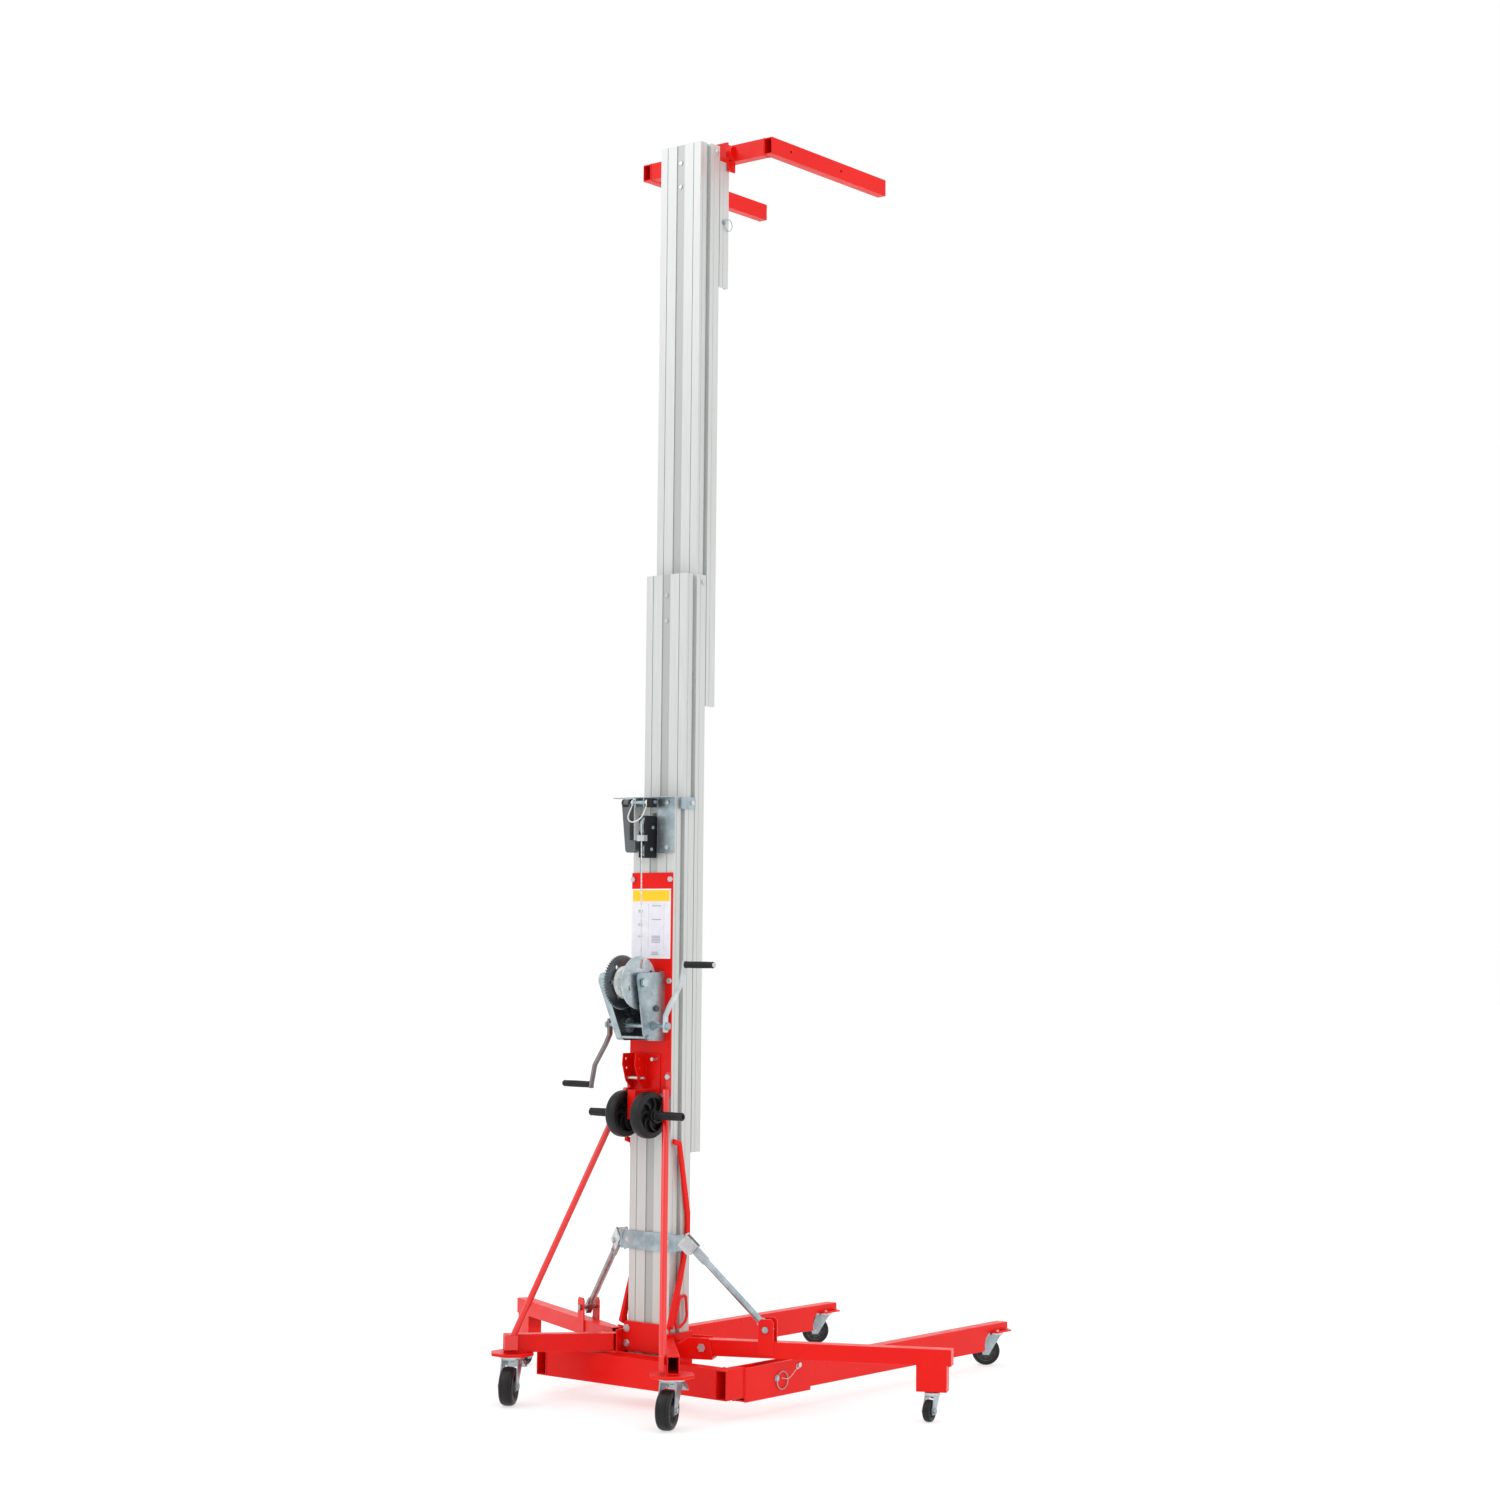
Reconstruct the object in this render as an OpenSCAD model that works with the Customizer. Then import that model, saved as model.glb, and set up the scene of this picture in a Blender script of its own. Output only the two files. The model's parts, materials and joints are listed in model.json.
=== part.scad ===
// Hand winch material lift: a telescoping aluminium mast of three nested
// sections and a fork carriage on a wheeled steel base with folding stabilisers.
// Millimetres. X is to the operator's right, Y is forward along the forks, Z is up.
// The plan centre of the whole lift is at X = 0, Y = 0 and the floor is at Z = 0.

/* [Mast] */
// Height of the top of the fixed mast section
mast_top = 1978; // [1700:1:2200]
// Length of each mast section
section_len = 1911; // [1500:1:2000]
// Step from one nested section to the next
pitch = 50; // [46:1:60]
// Raised height of the middle section above the fixed one
mid_raise = 746; // [0:1:1473]
// Raised height of the inner section above the middle one
inner_raise = 1473; // [900:1:1473]
// Length of the short carriage column
carriage_len = 433; // [300:1:600]
// Height of the bottom of the carriage column
carriage_low = 3715; // [3000:1:3900]

/* [Forks] */
// Outside width over both fork tubes
fork_span = 572; // [400:1:700]
// Length of each fork tube
fork_len = 655; // [500:1:900]
// Width of a fork tube
fork_w = 35; // [25:1:50]
// Height of a fork tube
fork_h = 58; // [40:1:80]
// Height of the underside of the forks
fork_low = 4150; // [3500:1:4300]

/* [Base] */
// Half width over the cross tube
base_half = 406; // [350:1:450]
// Length of a front leg ahead of the mast's rear face
leg_reach = 1510; // [1200:1:1600]
// Height of the underside of the leg tubes
leg_low = 60; // [50:1:80]
// Height of a leg tube
leg_h = 90; // [70:1:110]
// Width of a leg tube
leg_w = 45; // [35:1:60]
// Sideways position of the rear caster pivots
rear_x = 340; // [300:1:380]
// Position of the rear caster pivots behind the mast's rear face
rear_y = -280; // [-320:1:-240]
// Position of the front caster pivots ahead of the mast's rear face
front_y = 1458; // [1300:1:1500]

/* [Stabilisers] */
// Angle of each stabiliser arm ahead of straight sideways
stab_angle = 25.2; // [10:1:45]
// Length of a stabiliser arm from its pivot
stab_len = 810; // [600:1:900]
// Height of the arm pivot
stab_z = 200; // [190:1:210]

/* [Winch] */
// Height of the winch drum axis
drum_z = 1368; // [1360:1:1376]
// Position of the drum axis behind the mast's rear face
drum_y = -115; // [-118:1:-112]
// Height of the crank shaft
crank_z = 1228; // [1222:1:1234]
// Position of the crank shaft behind the mast's rear face
crank_y = -62; // [-66:1:-58]
// Height of the intermediate gear shaft
idler_z = 1284; // [1280:1:1288]
// Position of the intermediate shaft behind the mast's rear face
idler_y = -50; // [-54:1:-49]
// Number of teeth on the drum gear
gear_teeth = 56; // [40:1:60]
// Number of teeth on the small intermediate gear
idler_small_teeth = 13; // [11:1:16]
// Number of teeth on the large intermediate gear
idler_large_teeth = 23; // [18:1:24]
// Number of teeth on the crank pinion
pinion_teeth = 14; // [12:1:18]

/* [Detail] */
// Angle of the rear left caster about its upright axis
swivel_rear_left = -60; // [-180:1:180]
// Angle of the rear right caster about its upright axis
swivel_rear_right = -68; // [-180:1:180]
// Angle of the front casters about their upright axes
swivel_front = -142; // [-180:1:180]
// Angle of the stabiliser casters about their upright axes
swivel_stab = -78; // [-180:1:180]

/* [Hidden] */
mid_y = 563.6;
mast_low = mast_top - section_len;
mid_low = mast_low + mid_raise;
inner_low = mid_low + inner_raise;
carriage_top = carriage_low + carriage_len;
pivot_x = 195;
pivot_y = 50;
fork_back = 235;
drum_gap = sqrt(pow(drum_y - idler_y, 2) + pow(drum_z - idler_z, 2));
gear_r = drum_gap * gear_teeth / (gear_teeth + idler_small_teeth);
small_r = drum_gap - gear_r;
crank_gap = sqrt(pow(crank_y - idler_y, 2) + pow(crank_z - idler_z, 2));
large_r = crank_gap * idler_large_teeth / (idler_large_teeth + pinion_teeth);
pinion_r = crank_gap - large_r;
drum_mesh = atan2(idler_z - drum_z, idler_y - drum_y);
crank_mesh = atan2(crank_z - idler_z, crank_y - idler_y);
$fn = 40;

module place() {
  translate([0, -mid_y, 0]) children();
}

module side(s) {
  if (s > 0) children();
  else mirror([1, 0, 0]) children();
}

module xcyl(r, x0, x1, y, z) {
  translate([x0, y, z]) rotate([0, 90, 0]) cylinder(r = r, h = x1 - x0);
}

module ycyl(r, x, y0, y1, z) {
  translate([x, y0, z]) rotate([-90, 0, 0]) cylinder(r = r, h = y1 - y0);
}

module zcyl(r, x, y, z0, z1) {
  translate([x, y, z0]) cylinder(r = r, h = z1 - z0);
}

module box(x0, x1, y0, y1, z0, z1) {
  translate([x0, y0, z0]) cube([x1 - x0, y1 - y0, z1 - z0]);
}

// Extrudes a side outline drawn in Y and Z across X.
module across_x(x0, x1) {
  translate([x0, 0, 0]) rotate([90, 0, 90]) linear_extrude(x1 - x0) children();
}

module hex_y(x, y0, y1, z, af = 17) {
  translate([x, y0, z]) rotate([-90, 0, 0]) cylinder(r = af / 2 / cos(30), h = y1 - y0, $fn = 6);
}

module hex_x(x0, x1, y, z, af = 17) {
  translate([x0, y, z]) rotate([0, 90, 0]) cylinder(r = af / 2 / cos(30), h = x1 - x0, $fn = 6);
}

// ---------------------------------------------------------------- mast

module mast_outline() {
  polygon([
    [-87, 0], [-58.5, 0], [-58.5, 1.5], [-55.5, 1.5], [-55.5, 0],
    [-17, 0], [-17, 3], [17, 3], [17, 0],
    [55.5, 0], [55.5, 1.5], [58.5, 1.5], [58.5, 0], [87, 0],
    [87, 10], [85.8, 10], [85.8, 14], [87, 14],
    [87, 34], [79, 34], [79, 44], [96, 44], [96, 60], [95, 60], [95, 63], [96, 63],
    [96, 91.2], [80, 91.2], [80, 84.6], [88.5, 84.6], [88.5, 48],
    [-88.5, 48], [-88.5, 84.6], [-80, 84.6], [-80, 91.2], [-96, 91.2],
    [-96, 63], [-95, 63], [-95, 60], [-96, 60], [-96, 44], [-79, 44], [-79, 34], [-87, 34],
    [-87, 14], [-85.8, 14], [-85.8, 10], [-87, 10]
  ]);
}

module mast_hollow() {
  polygon([
    [-83, 4], [-21, 4], [-21, 7], [21, 7], [21, 4], [83, 4], [83, 30], [75, 30],
    [75, 44], [-75, 44], [-75, 30], [-83, 30]
  ]);
}

module section(step, z0, z1) {
  translate([0, step * pitch, z0]) linear_extrude(z1 - z0) difference() {
    mast_outline();
    mast_hollow();
  }
}

module mast_outer() {
  place() color("silver") difference() {
    section(0, mast_low, mast_top);
    box(-9, 9, -1, 9, 1828, 1925);
  }
}

module mast_middle() {
  place() color("silver") section(1, mid_low, mid_low + section_len);
}

module mast_inner() {
  place() color("silver") section(2, inner_low, inner_low + section_len);
}

// ---------------------------------------------------------------- carriage and forks

module carriage_column() {
  place() color("silver") difference() {
    section(3, carriage_low, carriage_top);
    xcyl(5.05, 70, 110, 3 * pitch + 66, 3940);
  }
}

module fork_crossbar() {
  place() color("red") {
    difference() {
      translate([fork_w - fork_span / 2, fork_back, fork_low]) cube([fork_span - 2 * fork_w, 36, fork_h]);
      box(-300, 300, fork_back + 4, fork_back + 32, fork_low + 4, fork_low + fork_h - 4);
    }
    box(-98, 98, fork_back - 8, fork_back, fork_low - 2, fork_low + fork_h + 12);
    box(-94, 94, fork_back - 35, fork_back + 36, carriage_top, fork_low);
    for (s = [-1, 1]) {
      box(s > 0 ? 98 : -104, s > 0 ? 104 : -98, fork_back - 8, fork_back + 30, fork_low - 30, fork_low + 60);
      xcyl(24, s > 0 ? 104 : -124, s > 0 ? 124 : -104, fork_back + 2, fork_low + 30);
    }
  }
}

module fork(s) {
  side(s) difference() {
    box(fork_span / 2 - fork_w, fork_span / 2, fork_back, fork_back + fork_len, fork_low, fork_low + fork_h);
    box(fork_span / 2 - fork_w + 3.5, fork_span / 2 - 3.5, fork_back - 1, fork_back + fork_len - 4,
      fork_low + 3.5, fork_low + fork_h - 3.5);
    xcyl(5, fork_span / 2 - 10, fork_span / 2 + 1, fork_back + 106, fork_low + fork_h / 2);
    xcyl(5, fork_span / 2 - 10, fork_span / 2 + 1, fork_back + 390, fork_low + fork_h / 2);
  }
}

module fork_left() {
  place() color("red") fork(-1);
}

module fork_right() {
  place() color("red") fork(1);
}

module ring_pin(r, len, ring_r) {
  rotate([0, 90, 0]) translate([0, 0, -len]) cylinder(r = r, h = len + 6);
  rotate([0, 90, 0]) translate([0, 0, 0.4]) cylinder(r = r + 4, h = 3);
  translate([4.6, 0, 0]) rotate([0, 90, 0]) translate([ring_r * 0.33, ring_r * 0.94, 0]) rotate_extrude() {
    translate([ring_r, 0]) circle(r = 1.5);
  }
}

module carriage_pin() {
  place() color("lightsteelblue") translate([96, 3 * pitch + 66, 3940]) ring_pin(5, 18, 20);
}

// ---------------------------------------------------------------- base frame

module tube_section(x0, x1, y0, y1, z0, z1, t, open) {
  difference() {
    box(x0, x1, y0, y1, z0, z1);
    if (open == "x") box(x0 - 1, x1 + 1, y0 + t, y1 - t, z0 + t, z1 - t);
    if (open == "y") box(x0 + t, x1 - t, y0 - 1, y1 + 1, z0 + t, z1 - t);
  }
}

module base_frame() {
  place() color("red") {
    tube_section(-base_half + leg_w, base_half - leg_w, -94, -44, 65, 160, 4, "x");
    for (s = [-1, 1]) side(s) {
      tube_section(base_half - leg_w, base_half, -94, 6, 65, 160, 4, "y");
      leg_socket();
    }
  }
}

module leg_socket() {
  difference() {
    union() {
      box(base_half, base_half + 5, -2, 336, 50, 158);
      box(base_half - leg_w - 5, base_half - leg_w, -2, 336, 50, 158);
      box(base_half - leg_w - 5, base_half + 5, 6, 330, 50, 55);
    }
    xcyl(7.05, base_half - leg_w - 10, base_half + 10, 155, 109);
  }
}

module leg(s) {
  side(s) difference() {
    box(base_half - leg_w, base_half, 8, leg_reach, leg_low, leg_low + leg_h);
    box(base_half - leg_w + 4, base_half - 4, 7, 1358, leg_low + 4, leg_low + leg_h - 4);
    box(base_half - leg_w + 4, base_half - 4, 1352, leg_reach - 4, leg_low - 1, leg_low + leg_h - 4);
    across_x(base_half - leg_w - 1, base_half + 1) polygon([
      [1365, leg_low - 1], [1365, 86], [1371, 104], [1383, 116], [1399, 125], [leg_reach + 1, 125],
      [leg_reach + 1, leg_low - 1]
    ]);
    xcyl(7.05, base_half - leg_w - 10, base_half + 10, 155, 109);
  }
}

module leg_left() {
  place() color("red") leg(-1);
}

module leg_right() {
  place() color("red") leg(1);
}

module caster_plates() {
  place() color("red") for (s = [-1, 1]) side(s) {
    difference() {
      translate([rear_x, rear_y, 156]) rotate([0, 0, 22.5]) cylinder(r = 74, h = 10, $fn = 8);
      zcyl(9.05, rear_x, rear_y, 150, 170);
    }
    difference() {
      box(base_half - leg_w / 2 - 46, base_half - leg_w / 2 + 46, front_y - 44, front_y + 44, 119, 125);
      zcyl(8.05, base_half - leg_w / 2, front_y, 100, 140);
    }
  }
}

module leg_pin(s) {
  side(s) translate([base_half + 5, 155, 109]) ring_pin(7, 58, 28);
}

module leg_pin_left() {
  place() color("lightsteelblue") leg_pin(-1);
}

module leg_pin_right() {
  place() color("lightsteelblue") leg_pin(1);
}

module rear_beams() {
  place() color("red") for (s = [-1, 1]) side(s) translate([0, 0, 166]) difference() {
    translate([362, -300, 0]) rotate([0, 0, 133.2]) box(0, 410, -20, 20, 0, 58);
    translate([362, -300, 0]) rotate([0, 0, 133.2]) box(-1, 440, -16, 16, 4, 54);
    box(-100, 103.2, -100, 200, -1, 60);
  }
}

module rear_brace(s) {
  side(s) {
    translate([325, -309, 196]) multmatrix([
      [1, 0, -248 / 850, 0], [0, 1, 294.5 / 850, 0], [0, 0, 1, 0], [0, 0, 0, 1]
    ]) cylinder(r = 11.5, h = 826);
    translate([325, -309, 196]) rotate([0, 0, 133.2]) box(-18, 26, -4, 11, -20, 28);
    box(73, 94, -12, -6.2, 1000, 1078);
  }
}

module rear_braces() {
  place() color("red") for (s = [-1, 1]) rear_brace(s);
}

module mast_foot() {
  place() color("red") {
    box(-100, 100, -44, 104, 58, mast_low);
    for (s = [-1, 1]) side(s) box(97, 103, -44, 104, 58, 236);
    box(-97, 97, -10, -1, 166, 262);
    box(-97, 97, -44, -36, 70, 166);
  }
}

// ---------------------------------------------------------------- stabilisers

// Puts children in a stabiliser's own frame: origin at the pivot, X out along the arm.
module stab_frame(s) {
  side(s) translate([pivot_x, pivot_y, stab_z]) rotate([0, 0, stab_angle]) children();
}

module stab_mount(s) {
  stab_frame(s) difference() {
    union() {
      for (q = [-1, 1]) {
        translate([0, q > 0 ? 30.6 : -25.6, 0]) rotate([90, 0, 0]) linear_extrude(5) polygon([
          [-72, -34], [36, -34], [36, -27], [24, 30], [-44, 32], [-72, 12]
        ]);
      }
      box(-72, 36, -30.6, 30.6, -38, -30);
    }
    ycyl(8.05, 0, -40, 40, 0);
  }
  side(s) difference() {
    box(103, 150, -30, 96, 160, 165.7);
    box(200, 300, -100, 200, 150, 180);
  }
  stab_frame(s) box(-86, -70, -30.6, 30.6, -38, 12);
}

module stab_mounts() {
  place() color("red") for (s = [-1, 1]) stab_mount(s);
}

module stab_arm(s) {
  stab_frame(s) difference() {
    union() {
      difference() {
        translate([0, 25, 0]) rotate([90, 0, 0]) linear_extrude(50) polygon([
          [-16, -20], [-10, -26], [stab_len, -26], [stab_len, 26], [-16, 26]
        ]);
        box(-25, stab_len - 4, -21, 21, -22, 22);
      }
      for (q = [-1, 1]) translate([0, q > 0 ? 30 : -25, 0]) rotate([90, 0, 0]) {
        linear_extrude(5) polygon([
          [186, -14], [236, -14], [236, 88], [228, 98], [194, 98], [186, 88]
        ]);
      }
      box(stab_len - 112, stab_len - 106, -25, 25, -104, -26);
      box(stab_len - 20, stab_len - 14, -25, 25, -104, -26);
      box(stab_len - 112, stab_len - 14, -25, -20, -104, -26);
      box(stab_len - 112, stab_len - 14, -25, 25, -108, -102);
    }
    ycyl(8.05, 0, -40, 40, 0);
    ycyl(6.05, 210, -40, 40, 65);
    zcyl(6.05, stab_len - 63, 0, -120, -90);
  }
}

module stab_arm_left() {
  place() color("red") stab_arm(-1);
}

module stab_arm_right() {
  place() color("red") stab_arm(1);
}

module lug_pins() {
  color("lightsteelblue") {
    ycyl(6, 210, -32, 32, 65);
    hex_y(210, -37, -31, 65, 19);
    hex_y(210, 31, 37, 65, 19);
  }
}

// Brace rod from the arm's lug up to the hook on the mast bracket.
module stab_rod(s) {
  stab_frame(s) translate([210, 0, 65]) rotate([0, -135, 0]) difference() {
    union() {
      xcyl(11, 22, 300, 0, 0);
      box(-16, 34, -9, 9, -14, 14);
      box(290, 376, -6, 6, -14, 14);
    }
    ycyl(5.9, 0, -20, 20, 0);
    ycyl(6.6, 353.6, -20, 20, 0);
    translate([353.6, 0, 0]) rotate([0, -118, 0]) box(0, 40, -20, 20, -6.9, 6.9);
  }
  stab_frame(s) lug_pins();
}

module stab_rod_left() {
  place() color("lightsteelblue") stab_rod(-1);
}

module stab_rod_right() {
  place() color("lightsteelblue") stab_rod(1);
}

module brace_bracket() {
  place() color("lightsteelblue") {
    difference() {
      box(-118, 118, -7, -0.5, 496, 562);
      for (x = [-40, 40]) ycyl(5, x, -20, 10, 540);
    }
    for (s = [-1, 1]) {
      side(s) translate([0, 0, 496]) linear_extrude(66) polygon([
        [108, -7], [118, -7], [130, 6], [122, 26], [114, 22], [118, 8], [110, -0.5], [108, -0.5]
      ]);
      stab_frame(s) difference() {
        union() {
          box(-82, -76, -13, 13, 290, 348);
          box(-82, -18, -13, -7, 290, 348);
          box(-82, -18, 7, 13, 290, 348);
        }
      }
      stab_frame(s) ycyl(6, -40, -14, 14, 315);
    }
  }
}

// ---------------------------------------------------------------- casters

// A swivelling fork with its axle toward +X of its own frame.
module caster_fork(trail, axle_z, wheel_r, wheel_w, plate_z, half, king) {
  difference() {
    union() {
      zcyl(half * 0.98, 0, 0, plate_z - 10, plate_z - 3);
      zcyl(half * 0.55, 0, 0, plate_z - 3.4, plate_z - 0.4);
      zcyl(king, 0, 0, plate_z - 6, plate_z + 5);
      for (q = [-1, 1]) {
        translate([0, q > 0 ? wheel_w / 2 + 6 : -wheel_w / 2 - 2, 0]) rotate([90, 0, 0]) {
          linear_extrude(4) polygon([
            [-half * 0.7, plate_z - 10], [half * 0.85, plate_z - 10], [trail + 16, axle_z + 4],
            [trail + 12, axle_z - 12], [trail - 10, axle_z - 12], [trail - 20, axle_z + 6]
          ]);
        }
      }
      box(-half * 0.7, half * 0.85, -wheel_w / 2 - 6, wheel_w / 2 + 6, plate_z - 14, plate_z - 9);
    }
    translate([trail, 0, axle_z]) rotate([90, 0, 0]) cylinder(r = 5.05, h = wheel_w + 40, center = true);
  }
  translate([trail, 0, axle_z]) rotate([90, 0, 0]) cylinder(r = 5, h = wheel_w + 18, center = true);
  for (q = [-1, 1]) {
    translate([trail, q * (wheel_w / 2 + 9), axle_z]) rotate([90, 0, 0]) {
      cylinder(r = 9, h = 6, center = true, $fn = 6);
    }
  }
}

// Pins on the fork cheeks that carry the brake pedal.
module brake_pins() {
  translate([-14, 0, 134]) rotate([90, 0, 0]) {
    translate([0, 0, 26]) cylinder(r = 4, h = 9);
    translate([0, 0, -35]) cylinder(r = 4, h = 9);
  }
}

module caster_wheel(trail, axle_z, wheel_r, wheel_w) {
  translate([trail, 0, axle_z]) rotate([90, 0, 0]) difference() {
    union() {
      rotate_extrude() polygon([
        [5.08, -wheel_w / 2 - 1.5], [14, -wheel_w / 2 - 1.5], [14, -wheel_w / 2 + 3],
        [wheel_r * 0.68, -wheel_w / 2 + 3],
        [wheel_r * 0.72, -wheel_w / 2], [wheel_r * 0.87, -wheel_w / 2], [wheel_r * 0.95, -wheel_w * 0.40],
        [wheel_r * 0.985, -wheel_w * 0.27], [wheel_r, -wheel_w * 0.1], [wheel_r, wheel_w * 0.1],
        [wheel_r * 0.985, wheel_w * 0.27], [wheel_r * 0.95, wheel_w * 0.40], [wheel_r * 0.87, wheel_w / 2],
        [wheel_r * 0.72, wheel_w / 2], [wheel_r * 0.68, wheel_w / 2 - 3],
        [14, wheel_w / 2 - 3], [14, wheel_w / 2 + 1.5], [5.08, wheel_w / 2 + 1.5]
      ]);
    }
  }
}

module rear_at(s, turn) {
  translate([s * rear_x, rear_y, 0]) rotate([0, 0, turn]) children();
}

module front_at(s) {
  translate([s * (base_half - leg_w / 2), front_y, 0]) rotate([0, 0, swivel_front]) children();
}

module stab_at(s) {
  ax = pivot_x + cos(stab_angle) * (stab_len - 63);
  ay = pivot_y + sin(stab_angle) * (stab_len - 63);
  translate([s * ax, ay, 0]) rotate([0, 0, swivel_stab]) children();
}

module rear_fork_left() {
  place() color("lightsteelblue") rear_at(-1, swivel_rear_left) {
    caster_fork(44, 62.5, 62.5, 46, 156, 42, 9);
    brake_pins();
  }
}

module rear_fork_right() {
  place() color("lightsteelblue") rear_at(1, swivel_rear_right) {
    caster_fork(44, 62.5, 62.5, 46, 156, 42, 9);
    brake_pins();
  }
}

module rear_wheel_left() {
  place() color("dimgray") rear_at(-1, swivel_rear_left) caster_wheel(44, 62.5, 62.5, 46);
}

module rear_wheel_right() {
  place() color("dimgray") rear_at(1, swivel_rear_right) caster_wheel(44, 62.5, 62.5, 46);
}

module brake_pedal() {
  difference() {
    union() {
      for (q = [29.6, -32.6]) translate([0, q + 3, 0]) rotate([90, 0, 0]) linear_extrude(3) polygon([
        [-8, 128], [-8, 140], [-20, 142], [-46, 130], [-58, 116], [-50, 112], [-36, 122], [-20, 127]
      ]);
      translate([0, 33, 0]) rotate([90, 0, 0]) linear_extrude(66) polygon([
        [-44, 131], [-48, 133], [-72, 112], [-70, 107], [-66, 108]
      ]);
    }
    translate([-14, 0, 134]) rotate([90, 0, 0]) cylinder(r = 4.05, h = 80, center = true);
  }
}

module brake_left() {
  place() color("lightsteelblue") rear_at(-1, swivel_rear_left) brake_pedal();
}

module brake_right() {
  place() color("lightsteelblue") rear_at(1, swivel_rear_right) brake_pedal();
}

module front_fork_left() {
  place() color("lightsteelblue") front_at(-1) caster_fork(30, 50, 50, 32, 119, 32, 8);
}

module front_fork_right() {
  place() color("lightsteelblue") front_at(1) caster_fork(30, 50, 50, 32, 119, 32, 8);
}

module front_wheel_left() {
  place() color("dimgray") front_at(-1) caster_wheel(30, 50, 50, 32);
}

module front_wheel_right() {
  place() color("dimgray") front_at(1) caster_wheel(30, 50, 50, 32);
}

module stab_fork_left() {
  place() color("lightsteelblue") stab_at(-1) caster_fork(26, 35, 35, 24, 92, 26, 6);
}

module stab_fork_right() {
  place() color("lightsteelblue") stab_at(1) caster_fork(26, 35, 35, 24, 92, 26, 6);
}

module stab_wheel_left() {
  place() color("dimgray") stab_at(-1) caster_wheel(26, 35, 35, 24);
}

module stab_wheel_right() {
  place() color("dimgray") stab_at(1) caster_wheel(26, 35, 35, 24);
}

// ---------------------------------------------------------------- winch and its plate

module winch_plate() {
  place() color("red") box(-88, 88, -6, -0.5, 1010, 1728);
}

module label_plate() {
  place() color("ivory") box(-87, 82, -7, -6, 1446, 1675);
}

module left_outline() {
  polygon([
    [-11, 1178], [-74, 1178], [-84, 1182], [-90, 1190], [-176, 1366], [-178, 1376], [-176, 1388],
    [-168, 1396], [-156, 1400], [-11, 1402]
  ]);
}

module winch_frame() {
  place() color("lightsteelblue") {
    difference() {
      union() {
        box(-54, 60, -11, -6, 1178, 1402);
        across_x(56, 60) polygon([
          [-11, 1178], [-85, 1180], [-101, 1187], [-110, 1200], [-143, 1382], [-141, 1394], [-131, 1400],
          [-11, 1402]
        ]);
        across_x(-54, -50) left_outline();
        across_x(-78, -54) difference() {
          left_outline();
          offset(delta = -3) left_outline();
          translate([-66, 1100]) square([80, 400]);
        }
        box(-54, 60, -26, -6, 1402, 1405);
      }
      xcyl(9.05, -90, 70, drum_y, drum_z);
      xcyl(8.05, -90, 70, crank_y, crank_z);
      xcyl(6.05, -90, 70, idler_y, idler_z);
    }
    xcyl(4.5, -50, 57, -87, 1190);
    hex_x(60, 66, -87, 1190, 14);
  }
}

module crank_arms() {
  place() color("lightsteelblue") {
    crank_arm();
    crank_grip_pin();
    translate([-16, 2 * crank_y, 2 * crank_z]) rotate([180, 0, 0]) mirror([1, 0, 0]) {
      crank_arm();
      crank_grip_pin();
    }
  }
}

module crank_grip_pin() {
  xcyl(5, 186, 312, crank_y, crank_z + 200);
  xcyl(8, 312, 315, crank_y, crank_z + 200);
}

module gear_outline(n, r, ph) {
  m = 2 * r / n;
  union() {
    circle(r = r - 1.25 * m, $fn = 2 * n);
    for (i = [0 : n - 1]) rotate(ph + i * 360 / n) polygon([
      [r - 1.5 * m, -0.92 * m], [r - m, -0.9 * m], [r, -0.70 * m], [r + 0.85 * m, -0.38 * m],
      [r + 0.85 * m, 0.38 * m], [r, 0.70 * m], [r - m, 0.9 * m], [r - 1.5 * m, 0.92 * m]
    ]);
  }
}

module drum() {
  place() color("lightsteelblue") {
    xcyl(9, -62, 64, drum_y, drum_z);
    xcyl(30, -28, 42, drum_y, drum_z);
    hex_x(-70, -61, drum_y, drum_z, 22);
    difference() {
      xcyl(86, 40, 44, drum_y, drum_z);
      for (a = [150, 270, 30]) xcyl(7, 30, 50, drum_y + 66 * cos(a), drum_z + 66 * sin(a));
      for (a = [80, 200, 320]) translate([42, drum_y, drum_z]) rotate([a, 0, 0]) box(-5, 5, 46, 76, -7, 7);
    }
    hex_x(62, 71, drum_y, drum_z, 26);
    translate([-34, drum_y, drum_z]) rotate([90, 0, 90]) linear_extrude(8) difference() {
      gear_outline(gear_teeth, gear_r, drum_mesh);
      circle(r = 8.9);
      for (a = [0 : 60 : 300]) rotate(a) translate([gear_r * 0.66, 0]) circle(r = 8);
    }
  }
}

module idler_gear() {
  place() color("lightsteelblue") {
    xcyl(6, -58, 64, idler_y, idler_z);
    hex_x(-66, -57, idler_y, idler_z, 19);
    hex_x(60.6, 67, idler_y, idler_z, 19);
    xcyl(12, -38, 40, idler_y, idler_z);
    translate([-36.5, idler_y, idler_z]) rotate([90, 0, 90]) linear_extrude(13) difference() {
      gear_outline(idler_small_teeth, small_r, drum_mesh + 180 + 180 / idler_small_teeth);
      circle(r = 5.9);
    }
    translate([-47, idler_y, idler_z]) rotate([90, 0, 90]) linear_extrude(8) difference() {
      gear_outline(idler_large_teeth, large_r, crank_mesh);
      circle(r = 5.9);
    }
    xcyl(11, -40, -35, idler_y, idler_z);
  }
}

module rope_coil() {
  place() color("gray") difference() {
    union() {
      for (i = [0 : 12]) {
        translate([-21.3 + i * 4.78, drum_y, drum_z]) rotate([0, 90, 0]) rotate_extrude() {
          translate([51.6, 0]) circle(r = 2.4, $fn = 24);
        }
      }
      xcyl(51.6, -23.6, 38.2, drum_y, drum_z);
    }
    xcyl(30, -60, 60, drum_y, drum_z);
  }
}

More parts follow.
